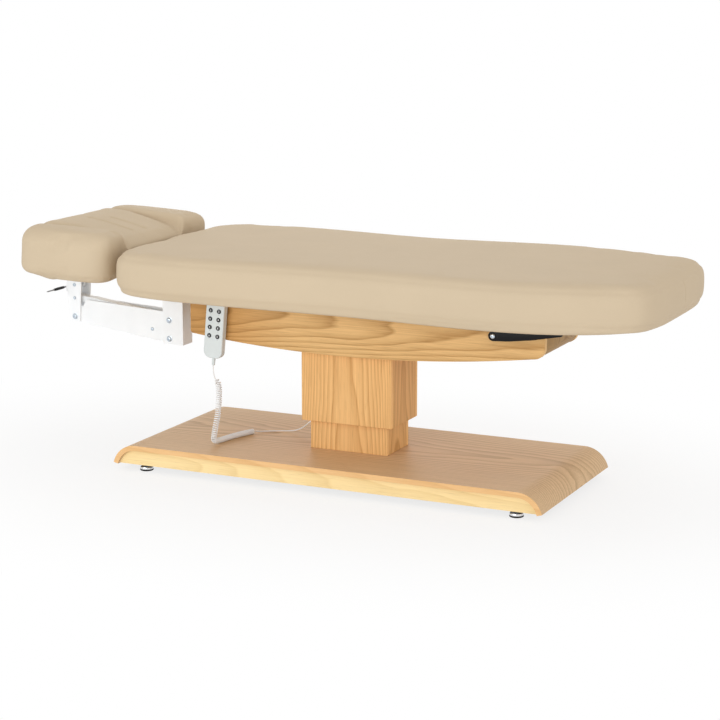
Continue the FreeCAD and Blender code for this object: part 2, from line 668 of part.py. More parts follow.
def hand_control():
    keys = [
        (f"hand_x + {side} * key_pitch_x / 2", f"hand_top_z - key_first - {line} * key_pitch_z")
        for line in range(4)
        for side in (-1, 1)
    ]
    holes = [
        rod("key_radius + key_gap", "2 * hand_wall", (x, "hand_front_y - hand_wall / 2", z), TURN_Y)
        for x, z in keys
    ]
    keep("hand_front_shell", cut(hand_shell("hand_front_y", "hand_split_y", 1), *holes))
    keep("hand_back_shell", hand_shell("hand_split_y", "hand_back_y", -1))
    keep(
        "hand_circuit_board",
        box(
            ("hand_width - 2 * hand_wall - 2 * running_gap", "hand_wall", "3 * (key_pitch_z + key_radius)"),
            (
                "hand_x - hand_width / 2 + hand_wall + running_gap",
                "hand_front_y + key_stem + key_travel + running_gap",
                "hand_top_z - key_first - 3 * key_pitch_z - 1.5 * key_radius",
            ),
        ),
    )
    key_face = point(0, "hand_front_y - key_proud", 0)

    def outer_rim(edge):
        return edge.CenterOfMass.y < key_face.y + value("board_round") / 2

    key_labels = []
    for number, (x, z) in enumerate(keys, start=1):
        cap = rod("key_radius", "key_proud + key_stem", (x, "hand_front_y - key_proud", z), TURN_Y)
        keep(f"hand_key_{number}", rounded(cap, ("board_round / 2", outer_rim)))
        key_labels.append(f"hand_key_{number}")
    relief_start = ("hand_x", "hand_split_y", "hand_low_z - relief_length")
    keep("cord_strain_relief", cone("relief_low", "relief_top", "relief_length", relief_start))
    hook_corner = ("hand_x - hook_width / 2", "hand_back_y", "hand_top_z - hook_height")
    keep("hand_hook", board(("hook_width", "hook_thick", "hook_height"), hook_corner))
    case = ["hand_front_shell", "hand_back_shell", "hand_circuit_board", "cord_strain_relief", "hand_hook"]
    lean(case + key_labels, point("hand_x", "hand_split_y", "hand_top_z"), value("hand_lean"))
    doc.recompute()


def tangent_route(points):
    """Straight runs joined by the largest tangent arcs that both runs leave room for."""
    edges, start, radii = [], points[0], []
    for before, corner, after in zip(points, points[1:], points[2:]):
        one, two = before - corner, after - corner
        shorter = min(one.Length, two.Length)
        turn = math.pi - one.getAngle(two)
        reach = 0.45 * shorter
        radius = reach / math.tan(turn / 2)
        radii.append(round(radius, 1))
        one.normalize()
        two.normalize()
        enter, leave = corner + one * reach, corner + two * reach
        inward = (one + two).normalize()
        middle = corner + inward * (radius / math.cos(turn / 2) - radius)
        edges.append(Part.LineSegment(start, enter).toShape())
        edges.append(Part.Arc(enter, middle, leave).toShape())
        start = leave
    edges.append(Part.LineSegment(start, points[-1]).toShape())
    return Part.Wire(edges), radii


def cord_tube(label, points, radius):
    """A plain tube along a route, checked against its section times its length."""
    route, radii = tangent_route(points)
    ring = Part.Wire(Part.Circle(points[0], points[1] - points[0], radius).toShape())
    shape = route.makePipeShell([ring], True, False)
    expected = math.pi * radius * radius * route.Length
    ratio = round(shape.Volume / expected, 4)
    print(label, "radii", radii, "length", round(route.Length, 1), "volume ratio", ratio)
    piece = doc.addObject("Part::Feature", "Tube")
    piece.Shape = shape
    return keep(label, piece)


def cord():
    lead, curl = value("lead_radius"), value("curl_radius")
    top_z = value("base_top_z")
    relief = parts["cord_strain_relief"].Shape
    relief_end = min((f.CenterOfMass for f in relief.Faces), key=lambda p: p.z)
    gland_x = value("-column_length / 2 - gland_length")
    lying_z = top_z + curl + value("cord_clear")
    lead_z = top_z + lead + value("cord_clear")
    gland_start = ("-column_length / 2", "gland_y", "gland_z")
    keep("cord_gland", rod("gland_radius", "gland_length", gland_start, TURN_HEAD))
    curl_top = Vector(-383, -157, 268)
    top_lead = [
        relief_end,
        Vector(relief_end.x - 1.5, relief_end.y, 291),
        Vector(curl_top.x - 5, curl_top.y, curl_top.z),
    ]
    cord_tube("cord_top_lead", top_lead, lead)
    bend = [Vector(-386, -172, 134), Vector(-393, -174, lying_z + 4)]
    split = (bend[0] + bend[1]) * 0.5
    hanging = [
        curl_top, Vector(-379.5, -158.5, 244), Vector(-378.5, -162, 210), Vector(-380, -167, 170),
        bend[0], split,
    ]
    lying = [
        split, bend[1], Vector(-387, -140, lying_z), Vector(-377, -80, lying_z + 0.4),
        Vector(-352, -2, lying_z),
    ]
    cord_tube("cord_hanging_curl", hanging, curl)
    cord_tube("cord_lying_curl", lying, curl)
    floor_lead = [
        lying[-1], Vector(-341, 20, lead_z + 1.5), Vector(-317, 45, lead_z),
        Vector(-283, 62, lead_z), Vector(-250, 64, lead_z + 3), Vector(-218, 54, lead_z + 15),
        Vector(-188, 36, lead_z + 37), Vector(-160, 14, lead_z + 57), point(gland_x, "gland_y", "gland_z"),
    ]
    cord_tube("cord_floor_lead", floor_lead, lead)


def check_and_write():
    doc.recompute()
    failed = [o.Label for o in doc.Objects if {"Invalid", "Error"} & set(o.State)]
    failed += [n for n, p in parts.items() if p.Shape.isNull() or not p.Shape.isValid()]
    if failed:
        raise RuntimeError(f"these objects did not build: {failed}")
    os.makedirs("parts", exist_ok=True)
    to_middle = Vector(-value("head_end_x + bed_foot_x") / 2, 0, 0)
    print("moved along X by", round(to_middle.x, 3))
    for label, piece in parts.items():
        shape = piece.Shape.translated(to_middle)
        shape.exportStep(os.path.join("parts", label + ".step"))
    print(len(parts), "sub-parts written")


plinth()
column()
beam()
top()
lever()
head_arm()
head_rest()
release_handle()
hand_control()
cord()
check_and_write()
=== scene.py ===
"""Massage bed: cushions, hand control, curly cord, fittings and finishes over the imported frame."""
import math

import bmesh
import bpy
from bpy.props import FloatProperty, FloatVectorProperty, IntProperty, PointerProperty
from mathutils import Matrix, Vector


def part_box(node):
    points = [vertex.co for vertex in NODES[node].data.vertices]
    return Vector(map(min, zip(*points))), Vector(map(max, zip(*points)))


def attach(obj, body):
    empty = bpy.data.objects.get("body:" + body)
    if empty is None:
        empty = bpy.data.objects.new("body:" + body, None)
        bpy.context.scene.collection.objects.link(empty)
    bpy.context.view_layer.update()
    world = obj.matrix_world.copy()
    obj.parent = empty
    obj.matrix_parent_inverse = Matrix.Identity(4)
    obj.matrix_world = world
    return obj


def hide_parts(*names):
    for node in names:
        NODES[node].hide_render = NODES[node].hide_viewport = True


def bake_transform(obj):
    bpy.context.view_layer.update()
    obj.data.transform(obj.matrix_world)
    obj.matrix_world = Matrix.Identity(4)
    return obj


bl_info = {
    "name": "Massage bed",
    "version": (1, 0, 0),
    "blender": (4, 5, 0),
    "location": "3D View > Sidebar > Massage bed",
    "description": "Cushions, hand control, cord, fittings and finishes of a lifting massage bed",
    "category": "Object",
}

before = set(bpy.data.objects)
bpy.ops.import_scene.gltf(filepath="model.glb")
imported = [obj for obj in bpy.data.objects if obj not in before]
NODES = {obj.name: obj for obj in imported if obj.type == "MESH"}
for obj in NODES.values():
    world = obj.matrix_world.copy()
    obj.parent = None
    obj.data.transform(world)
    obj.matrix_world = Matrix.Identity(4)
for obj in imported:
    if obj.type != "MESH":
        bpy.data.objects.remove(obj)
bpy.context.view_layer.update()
KEYS = [f"hand_key_{number}" for number in range(1, 9)]
BOX_SIDES = ("sleeve_near_board", "sleeve_far_board", "column_near_board", "column_far_board")
BOX_ENDS = ("sleeve_head_board", "sleeve_foot_board", "column_head_board", "column_foot_board")
BEAM_LOW, BEAM_HIGH = (corner[2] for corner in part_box("beam_near_side"))
BEAM_HEART = (0.0, 0.0, 0.36 * BEAM_LOW + 0.64 * BEAM_HIGH)
# How near to a board's face, in metres, its wood still counts as the face.
FACE_SKIN = 0.0008
# Two points nearer than this, in metres, are one.
TINY = 1e-6
QUARTER = math.radians(90)
# Turns a piece that was made upright so that its top faces the near side.
TO_NEAR = Matrix.Rotation(QUARTER, 4, "X")


def middle(node):
    """Centre of a CAD node's box."""
    low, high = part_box(node)
    return (Vector(low) + Vector(high)) / 2


def colour(name, description, default):
    """A colour that the sidebar shows."""
    return FloatVectorProperty(
        name=name, description=description, subtype="COLOR", size=3, min=0, max=1, default=default)


def length(name, description, default):
    """A length in metres that the sidebar shows."""
    return FloatProperty(
        name=name, description=description, default=default, min=0, unit="LENGTH", precision=4)


class BedColours(bpy.types.PropertyGroup):
    """Colours of the finishes."""

    vinyl: colour("Vinyl", "Cream cover of both cushions", (0.585, 0.470, 0.330))
    beam_pale: colour("Beam, pale", "Early wood of the beam", (0.775, 0.505, 0.228))
    beam_deep: colour("Beam, deep", "Late wood of the beam", (0.43, 0.235, 0.078))
    box_pale: colour("Column, pale", "Early wood of the column boards", (0.86, 0.54, 0.237))
    box_deep: colour("Column, deep", "Late wood of the column boards", (0.56, 0.295, 0.10))
    # The base sheet's wood is browner than the rails': partly its own veneer, partly painted shade from under
    # the bed.
    base_pale: colour("Base, pale", "Early wood of the base sheet", (0.77, 0.555, 0.335))
    base_deep: colour("Base, deep", "Late wood of the base sheet", (0.50, 0.325, 0.175))
    rail_pale: colour("Rail, pale", "Early wood of the base rails", (0.95, 0.745, 0.41))
    rail_deep: colour("Rail, deep", "Late wood of the base rails", (0.83, 0.62, 0.31))
    white_coat: colour("White coat", "Powder coat of the head arm", (0.91, 0.925, 0.94))
    grey_coat: colour("Grey coat", "Coat of the plates and the release handle", (0.30, 0.31, 0.33))
    zinc: colour("Zinc", "Bright zinc of the bolts", (0.58, 0.64, 0.70))
    hand_case: colour("Hand control", "Case of the hand control", (0.655, 0.695, 0.69))
    key: colour("Keys", "Rubber of the keys", (0.012, 0.012, 0.013))
    cord: colour("Cord", "Jacket of the curly cord", (0.86, 0.86, 0.86))
    base_edge: colour("Base edge", "Lipping of the base sheet", (0.86, 0.50, 0.20))
    black: colour("Black plastic", "Lever, grip and pads", (0.007, 0.007, 0.008))


class BedSizes(bpy.types.PropertyGroup):
    """Sizes of what is added to the frame."""

    mattress_net: length("Mattress net", "Mesh size of the bed cushion before it swells", 0.0095)
    rest_net: length("Head cushion net", "Mesh size of the head cushion before it swells", 0.0055)
    mattress_swell: length("Mattress swell", "Most that the bed cushion swells", 0.008)
    rest_swell: length("Head cushion swell", "Most that the head cushion swells", 0.006)
    seam_drop: length("Seam drop", "Depth of the rim seam below the cushion's top", 0.017)
    seam_depth: length("Seam depth", "How far a seam pulls the cover in", 0.0022)
    rim_sag: length("Rim sag", "How far the bed cushion's lower rim sags along its sides", 0.009)
    lobe_reach: length("Lobe reach", "How far the head cushion's side lobes reach to the bed", 0.019)
    hollow: length("Hollow", "How far the head cushion is hollow between its lobes", 0.009)
    cord_wire: length("Cord thickness", "Diameter of the cord's jacket", 0.0036)
    hanging_radius: length("Hanging curl", "Radius of the curl where the cord hangs", 0.0076)
    lying_radius: length("Lying curl", "Radius of the curl where the cord lies", 0.0067)
    hanging_pitch: length("Hanging pitch", "Step from turn to turn where the cord hangs", 0.0064)
    lying_pitch: length("Lying pitch", "Step from turn to turn where the cord lies", 0.0044)
    hand_width: length("Hand control width", "Width of the hand control", 0.060)
    hand_height: length("Hand control height", "Height of the hand control", 0.168)
    hand_shell: length("Hand shell depth", "Depth of each of the two shells", 0.011)
    hand_lean: FloatProperty(
        name="Hand control lean", description="Lean of the hand control on its hook",
        default=math.radians(5), subtype="ANGLE")
    beam_reach: length("Beam reach", "How far the beam's cover runs past its boards at the foot end", 0.034)
    beam_corner: length("Beam corner", "Radius of the beam's lower corner at the foot end", 0.030)
    bolt_head: length("Bolt head radius", "Radius of the arm's button heads", 0.0076)
    curl_steps: IntProperty(
        name="Curl steps", description="Points in one turn of the curl", default=14, min=8, max=32)


def maths(operation, swapped=False):
    """A method that adds one Math node."""
    def method(self, other=0.0):
        first, second = (other, self) if swapped else (self, other)
        return self.finish.node("ShaderNodeMath", {"operation": operation}, {0: first, 1: second})
    return method


class Wire:
    """A socket's value, which plain arithmetic turns into Math nodes."""

    def __init__(self, finish, socket):
        self.finish = finish
        self.socket = socket

    __add__ = __radd__ = maths("ADD")
    __sub__ = maths("SUBTRACT")
    __rsub__ = maths("SUBTRACT", swapped=True)
    __mul__ = __rmul__ = maths("MULTIPLY")
    __gt__ = maths("GREATER_THAN")
    __abs__ = maths("ABSOLUTE")
    part = maths("FRACT")


class Finish:
    """A material whose nodes feed one Principled shader."""

    def __init__(self, name, constants):
        self.material = bpy.data.materials.new(name)
        self.material.use_nodes = True
        self.tree = self.material.node_tree
        self.shader = self.tree.nodes["Principled BSDF"]
        for socket, value in constants.items():
            self.shader.inputs[socket].default_value = value

    def node(self, kind, settings=None, inputs=None, output=0):
        """Adds a node of any kind, with its settings first and then its sockets."""
        made = self.tree.nodes.new(kind)
        for name, value in (settings or {}).items():
            if name == "stops":
                self.set_stops(made.color_ramp.elements, value)
            else:
                setattr(made, name, value)
        for name, value in (inputs or {}).items():
            if isinstance(value, Wire):
                self.tree.links.new(value.socket, made.inputs[name])
            else:
                made.inputs[name].default_value = value
        return Wire(self, made.outputs[output])

    @staticmethod
    def set_stops(elements, stops):
        """Gives a ramp its stops."""
        while len(elements) < len(stops):
            elements.new(1.0)
        for element, (place, shade) in zip(elements, stops):
            element.position = place
            element.color = (*shade, 1.0)

    def place(self, scale=(1, 1, 1), centre=(0, 0, 0)):
        """Object coordinates, measured from a centre and stretched."""
        point = self.node("ShaderNodeTexCoord", output="Object")
        shift = [-c * s for c, s in zip(centre, scale)]
        return self.node("ShaderNodeMapping", {}, {"Vector": point, "Location": shift, "Scale": scale})

    def axis(self, vector, index):
        """One coordinate of a vector."""
        return self.node("ShaderNodeSeparateXYZ", {}, {0: vector}, output=index)

    def edges(self, axis, *nodes):
        """1 on the edges of boards and 0 on the two faces that lie across an axis."""
        across = self.axis(self.place(), axis)
        mask = None
        for face in [corner[axis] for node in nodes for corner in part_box(node)]:
            away = abs(across - face) > FACE_SKIN
            mask = away if mask is None else mask * away
        return mask

    def noise(self, point, scale, detail=3.0, roughness=0.5):
        """Soft noise from 0 to 1."""
        return self.node(
            "ShaderNodeTexNoise", {},
            {"Vector": point, "Scale": scale, "Detail": detail, "Roughness": roughness})

    def cells(self, point, scale):
        """Distance to the nearest cell, for pebbled grain."""
        return self.node("ShaderNodeTexVoronoi", {}, {"Vector": point, "Scale": scale})

    def ramp(self, value, *stops):
        """Colours along a value."""
        return self.node("ShaderNodeValToRGB", {"stops": stops}, {0: value})

    def mix(self, share, first, second, blend="MIX"):
        """Mixes two colours."""
        inputs = {0: share, 6: as_colour(first), 7: as_colour(second)}
        return self.node("ShaderNodeMix", {"data_type": "RGBA", "blend_type": blend}, inputs, output=2)

    def feed(self, socket, value):
        """Leads a value into the shader."""
        self.tree.links.new(value.socket, self.shader.inputs[socket])

    def bump(self, height, distance, strength=1.0):
        """Raises the surface by a height."""
        inputs = {"Height": height, "Distance": distance, "Strength": strength}
        self.feed("Normal", self.node("ShaderNodeBump", {}, inputs))


def as_colour(value):
    """A colour socket's value from a triple, with links left as they are."""
    return value if isinstance(value, Wire) else (*value, 1.0)


def shade(triple, factor):
    """A triple made lighter or darker."""
    return tuple(min(1.0, channel * factor) for channel in triple)


def colours():
    """The colours of the sidebar."""
    return bpy.context.scene.bed_colours


def sizes():
    """The sizes of the sidebar."""
    return bpy.context.scene.bed_sizes


def oak(name, along, pale, deep, centre, edge=None, sides=None, lipping=None, rings_per=520.0, shadow=None):
    """Veneered oak with arched growth lines along an axis, fine fibres, pores and a lipping on its edges; a
    shadow colour adds painted shade towards the low end of the grain's axis.
    """
    wood = Finish(name, {"Specular IOR Level": 0.12})

    def stretched(run, across, start=(0, 0, 0)):
        """Object coordinates with one scale along the grain and another across it."""
        return wood.place([run if axis == along else across for axis in range(3)], start)

    off_heart = stretched(0.0, 1.0, centre)
    heart = wood.node(
        "ShaderNodeVectorMath", {"operation": "DOT_PRODUCT"}, {0: off_heart, 1: off_heart}, "Value")
    run = wood.axis(wood.place(), along)
    wander = wood.noise(stretched(1.4, 7.0), 1.0, 3.0, 0.45)
    rings = (heart * rings_per + run * 4.0 + wander * 4.6).part()
    early = shade(pale, 1.05)
    middling = [(p + d) / 2 for p, d in zip(pale, deep)]
    grain = wood.ramp(rings, (0.0, early), (0.35, pale), (0.74, middling), (0.90, deep), (1.0, early))
    fibres = wood.noise(stretched(5.0, 330.0), 1.0, 4.0, 0.6)
    streaked = wood.mix(0.34, grain, wood.ramp(fibres, (0.30, deep), (0.62, shade(pale, 1.08))))
    pores = wood.noise(stretched(16.0, 620.0), 1.0, 2.0, 0.5)
    pore = wood.ramp(pores, (0.30, (1, 1, 1)), (0.40, (0, 0, 0)))
    open_grain = wood.mix(wood.node("ShaderNodeRGBToBW", {}, {0: pore}) * 0.32, streaked, shade(deep, 0.62))
    patches = wood.noise(wood.place(), 3.1, 2.0)
    toned = wood.mix(patches * 0.30, open_grain, shade(pale, 0.82), "MULTIPLY")
    if edge or sides:
        band = wood.edges(*edge) if edge else 1.0 - wood.edges(*sides)
        toned = wood.mix(band * 0.62, toned, lipping or shade(pale, 1.16))
    # Painted shade: with a shadow colour the wood darkens towards the low end of its grain axis. On the beam
    # this is the head end, where the cushion and the hand control shade it, and its veneer there is also a
    # little darker.
    if shadow:
        painted_shade_ramp = wood.ramp(run + 0.5, (0.03, shadow), (0.17, shade(shadow, 1.12)), (0.34, (1, 1, 1)))
        toned = wood.mix(1.0, toned, painted_shade_ramp, "MULTIPLY")
    wood.feed("Base Color", toned)
    wood.feed("Roughness", 0.42 + fibres * 0.16)
    wood.bump(fibres * 0.5 + pores * 0.5, 0.00025, 0.5)
    return wood.material


def birch_ply(name):
    """Birch plywood with its plies showing on the edges."""
    ply = Finish(name, {"Roughness": 0.62})
    rise = ply.axis(ply.place(), 2)
    plies = (rise * 360.0).part() > 0.5
    fibres = ply.noise(ply.place((6, 180, 180)), 1.0, 4.0, 0.6)
    flat = ply.ramp(fibres, (0.3, (0.50, 0.36, 0.20)), (0.7, (0.64, 0.49, 0.30)))
    edge = ply.edges(2, "top_board", "rest_board")
    ply.feed("Base Color", ply.mix(plies * edge * 0.55, flat, (0.30, 0.19, 0.095)))
    ply.bump(fibres, 0.0002, 0.4)
    return ply.material


def cream_vinyl(name, cream):
    """Soft cream vinyl with a fine pebbled grain."""
    vinyl = Finish(name, {"Specular IOR Level": 0.04})
    point = vinyl.place()
    pebbles = vinyl.cells(point, 620.0)
    wander = vinyl.noise(point, 7.0, 3.0)
    worn = vinyl.noise(point, 38.0, 4.0, 0.6)
    body = vinyl.mix(wander, shade(cream, 0.965), shade(cream, 1.03))
    vinyl.feed("Base Color", vinyl.mix(pebbles * 0.16, body, shade(cream, 0.80)))
    vinyl.feed("Roughness", 0.50 + worn * 0.14)
    vinyl.bump(pebbles * 0.6 + worn * 0.9, 0.00035, 0.35)
    return vinyl.material


def coat(name, base, rough, peel=900.0, depth=0.00012, gloss=0.45):
    """Painted or moulded surface with a fine orange peel."""
    paint = Finish(name, {"Specular IOR Level": gloss})
    point = paint.place()
    skin = paint.noise(point, peel, 2.0)
    cloud = paint.noise(point, 22.0, 3.0)
    paint.feed("Base Color", paint.mix(cloud, shade(base, 0.95), shade(base, 1.03)))
    paint.feed("Roughness", rough - 0.05 + skin * 0.10)
    paint.bump(skin, depth, 0.4)
    return paint.material


def metal(name, base, rough, brush):
    """Bare metal with fine drawing lines."""
    steel = Finish(name, {"Metallic": 1.0})
    lines = steel.noise(steel.place(brush), 1.0, 3.0, 0.6)
    tarnish = steel.noise(steel.place(), 40.0, 3.0)
    steel.feed("Base Color", steel.mix(tarnish, shade(base, 0.88), shade(base, 1.06)))
    steel.feed("Roughness", rough - 0.05 + lines * 0.14)
    steel.bump(lines, 0.00006, 0.3)
    return steel.material


def green_board(name):
    """Circuit board with copper tracks under its lacquer."""
    board = Finish(name, {"Roughness": 0.35})
    tracks = board.node(
        "ShaderNodeTexBrick", {}, {"Vector": board.place(), "Scale": 160.0, "Mortar Size": 0.03}, "Fac")
    board.feed("Base Color", board.mix(tracks, (0.012, 0.13, 0.045), (0.02, 0.20, 0.07)))
    board.bump(tracks, 0.00008, 0.4)
    return board.material


FINISHES = {
    # The beam's shadow colour is painted shade at its head end, where the cushion and the hand control shade
    # it, over a slightly darker veneer.
    "beam_oak": lambda name, hue: oak(
        name, 0, hue.beam_pale, hue.beam_deep, BEAM_HEART, (1, "beam_near_side", "beam_far_side"),
        shadow=(0.76, 0.66, 0.54)),
    # Painted shade: the end panels wear the beam's oak darkened to 0.6, for their shaded end faces.
    "beam_end_oak": lambda name, hue: oak(
        name, 2, shade(hue.beam_pale, 0.60), shade(hue.beam_deep, 0.60), (0, 0.03, 0)),
    "box_oak": lambda name, hue: oak(name, 2, hue.box_pale, hue.box_deep, (0.02, 0, 0), (1, *BOX_SIDES)),
    # Painted shade: the end boards' pale wood is 4% darker than the side boards', for end faces that take
    # less light.
    "box_end_oak": lambda name, hue: oak(
        name, 2, shade(hue.box_pale, 0.96), hue.box_deep, (0, -0.01, 0), (0, *BOX_ENDS)),
    # The base sheet's browner wood is partly painted shade from under the bed. Its lipping is its own lighter
    # colour.
    "base_oak": lambda name, hue: oak(
        name, 0, hue.base_pale, hue.base_deep, (0, 0.05, 0), sides=(1, "base_top_sheet"),
        lipping=tuple(hue.base_edge), rings_per=190.0),
    "rail_oak": lambda name, hue: oak(name, 0, hue.rail_pale, hue.rail_deep, (0, 0, 0.03)),
    "birch_ply": lambda name, hue: birch_ply(name),
    "cream_vinyl": lambda name, hue: cream_vinyl(name, tuple(hue.vinyl)),
    "white_coat": lambda name, hue: coat(name, hue.white_coat, 0.38),
    "grey_coat": lambda name, hue: coat(name, hue.grey_coat, 0.42),
    "black_plastic": lambda name, hue: coat(name, hue.black, 0.40, 1400.0, gloss=0.16),
    "hand_plastic": lambda name, hue: coat(name, hue.hand_case, 0.45, 1600.0),
    "key_rubber": lambda name, hue: coat(name, hue.key, 0.52, 2200.0, 0.00006),
    "key_print": lambda name, hue: coat(name, (0.82, 0.83, 0.83), 0.5, 2200.0, 0.00002),
    "grey_print": lambda name, hue: coat(name, (0.20, 0.21, 0.23), 0.5, 2200.0, 0.00002),
    "cord_jacket": lambda name, hue: coat(name, hue.cord, 0.40, 700.0, 0.00005),
    "zinc_plate": lambda name, hue: metal(name, hue.zinc, 0.30, (500, 500, 500)),
    "column_steel": lambda name, hue: metal(name, (0.50, 0.51, 0.53), 0.34, (900, 900, 12)),
    "bright_steel": lambda name, hue: metal(name, (0.74, 0.74, 0.75), 0.14, (60, 60, 900)),
    "green_board": lambda name, hue: green_board(name),
}


def wear(piece, finish):
    """Gives a piece or a CAD node one finish, whose material is made once."""
    name = f"bed_{finish}"
    piece.data.materials.clear()
    piece.data.materials.append(bpy.data.materials.get(name) or FINISHES[finish](name, colours()))


def dress(finish, *nodes):
    """Gives CAD nodes a finish."""
    for node in nodes:
        wear(NODES[node], finish)


def deselect():
    """Deselects everything."""
    bpy.ops.object.select_all(action="DESELECT")


def only(piece):
    """Selects one object and makes it active."""
    deselect()
    piece.select_set(True)
    bpy.context.view_layer.objects.active = piece


def added(name, data):
    """A new object that holds a mesh, a curve, a light or a camera."""
    piece = bpy.data.objects.new(name, data)
    bpy.context.scene.collection.objects.link(piece)
    return piece


def named(name):
    """Names the object that was just added, and its mesh."""
    piece = bpy.context.object
    piece.name = name
    piece.data.name = name
    return piece


def block(name, low, high):
    """Adds a cube between two corners."""
    deselect()
    centre = [(a + b) / 2 for a, b in zip(low, high)]
    bpy.ops.mesh.primitive_cube_add(size=1, location=centre, scale=[b - a for a, b in zip(low, high)])
    bpy.ops.object.transform_apply()
    return named(name)


def rod(name, centre, radius, depth, sides=32, turn=(QUARTER, 0, 0)):
    """Adds a closed cylinder, which lies across the bed unless it is turned."""
    deselect()
    bpy.ops.mesh.primitive_cylinder_add(
        vertices=sides, radius=radius, depth=depth, location=centre, rotation=turn)
    bpy.ops.object.transform_apply()
    return named(name)


def pick(piece, kind, test=lambda part: True):
    """Goes into edit mode with the faces or edges selected that pass a test."""
    only(piece)
    bpy.ops.object.mode_set(mode="EDIT")
    bpy.ops.mesh.select_mode(type=kind)
    bpy.ops.mesh.select_all(action="DESELECT")
    net = bmesh.from_edit_mesh(piece.data)
    net.normal_update()
    for part in (net.faces if kind == "FACE" else net.edges):
        if test(part):
            part.select_set(True)
    bmesh.update_edit_mesh(piece.data)


def leave():
    """Goes back to object mode."""
    bpy.ops.object.mode_set(mode="OBJECT")


def bevel(piece, width, segments, test=lambda edge: True):
    """Rounds the edges that pass a test."""
    pick(piece, "EDGE", test)
    bpy.ops.mesh.bevel(offset=width, segments=segments, affect="EDGES", clamp_overlap=True)
    leave()


def outwards(piece):
    """Merges a piece's doubles and turns all its faces outwards."""
    pick(piece, "FACE")
    bpy.ops.mesh.remove_doubles(threshold=TINY)
    bpy.ops.mesh.normals_make_consistent(inside=False)
    leave()


def modify(piece, kind, **settings):
    """Adds a modifier with its settings, and applies it."""
    only(piece)
    change = piece.modifiers.new(kind.lower(), kind)
    for name, value in settings.items():
        setattr(change, name, value)
    bpy.ops.object.modifier_apply(modifier=change.name)


def cut(piece, tool):
    """Cuts a tool's shape out of a piece, and takes the tool away."""
    modify(piece, "BOOLEAN", operation="DIFFERENCE", object=tool, solver="EXACT")
    bpy.data.objects.remove(tool)


def joined(name, pieces):
    """Joins pieces into the first one."""
    deselect()
    for piece in pieces:
        piece.select_set(True)
    bpy.context.view_layer.objects.active = pieces[0]
    bpy.ops.object.join()
    return named(name)


def settle(piece, finish, body, nodes=(), angle=35):
    """Shades a piece smooth up to an angle, and gives it its finish, body and replaced nodes."""
    if angle:
        only(piece)
        bpy.ops.object.shade_smooth_by_angle(angle=math.radians(angle))
    wear(piece, finish)
    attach(piece, body)
    if nodes:
        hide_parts(*nodes)


def easing(value, low, high):
    """A smooth step from 0 at low to 1 at high."""
    share = min(1.0, max(0.0, (value - low) / (high - low)))
    return share * share * (3 - 2 * share)


def hill(distance, spread):
    """A bell curve of height 1."""
    return math.exp(-(distance / spread) ** 2)


def soft_copy(node, name, net):
    """Copies a soft CAD solid as an even net of quads."""
    mesh = NODES[node].data.copy()
    mesh.name = name
    merged = bmesh.new()
    merged.from_mesh(mesh)
    bmesh.ops.remove_doubles(merged, verts=merged.verts, dist=1e-5)
    merged.to_mesh(mesh)
    merged.free()
    cushion = added(name, mesh)
    modify(cushion, "REMESH", mode="VOXEL", voxel_size=net, use_smooth_shade=True)
    relax(cushion, 8)
    return cushion


def relax(cushion, steps):
    """Evens out the net."""
    modify(cushion, "SMOOTH", factor=0.5, iterations=steps)


SWELL_FRAMES = 20
SEAT_BAND = 0.006


def puff(cushion, most, bottom):
    """Swells a cushion under its cover from the face that it rests on, by no more than a set way."""
    mesh = cushion.data
    rest = [vertex.co.copy() for vertex in mesh.vertices]
    seat = cushion.vertex_groups.new(name="seat")
    seat.add([v.index for v in mesh.vertices if v.co.z < bottom + SEAT_BAND], 1.0, "REPLACE")
    cloth = cushion.modifiers.new("puff", "CLOTH")
    cloth.settings.use_pressure = True
    cloth.settings.uniform_pressure_force = 3.0
    cloth.settings.vertex_group_mass = seat.name
    cloth.settings.effector_weights.gravity = 0
    cloth.point_cache.frame_start = 1
    cloth.point_cache.frame_end = SWELL_FRAMES
    scene = bpy.context.scene
    for step in range(1, SWELL_FRAMES + 1):
        scene.frame_set(step)
    swollen = cushion.evaluated_get(bpy.context.evaluated_depsgraph_get()).to_mesh()
    moved = [vertex.co.copy() for vertex in swollen.vertices]
    cushion.to_mesh_clear()
    cushion.modifiers.remove(cloth)
    cushion.vertex_groups.clear()
    scene.frame_set(1)
    for vertex, start, end in zip(mesh.vertices, rest, moved):
        way = end - start
        if way.length > most:
            way *= most / way.length
        vertex.co = start + way


def finer(cushion):
    """Divides every face of a cushion once, smoothly."""
    modify(cushion, "SUBSURF", levels=1, render_levels=1)


def press(cushion, depth_at):
    """Moves each point of the cover inwards by a depth that a function gives."""
    cushion.data.update()
    normals = [vertex.normal.copy() for vertex in cushion.data.vertices]
    for vertex, normal in zip(cushion.data.vertices, normals):
        vertex.co -= normal * depth_at(vertex.co, normal)
    cushion.data.update()


def refit(cushion, node):
    """Stretches a cushion to the room that its CAD solid holds."""
    low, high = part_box(node)
    points = [vertex.co for vertex in cushion.data.vertices]
    for axis in range(3):
        least = min(point[axis] for point in points)
        most = max(point[axis] for point in points)
        stretch = (high[axis] - low[axis]) / (most - least)
        for point in points:
            point[axis] = low[axis] + (point[axis] - least) * stretch
    cushion.data.update()


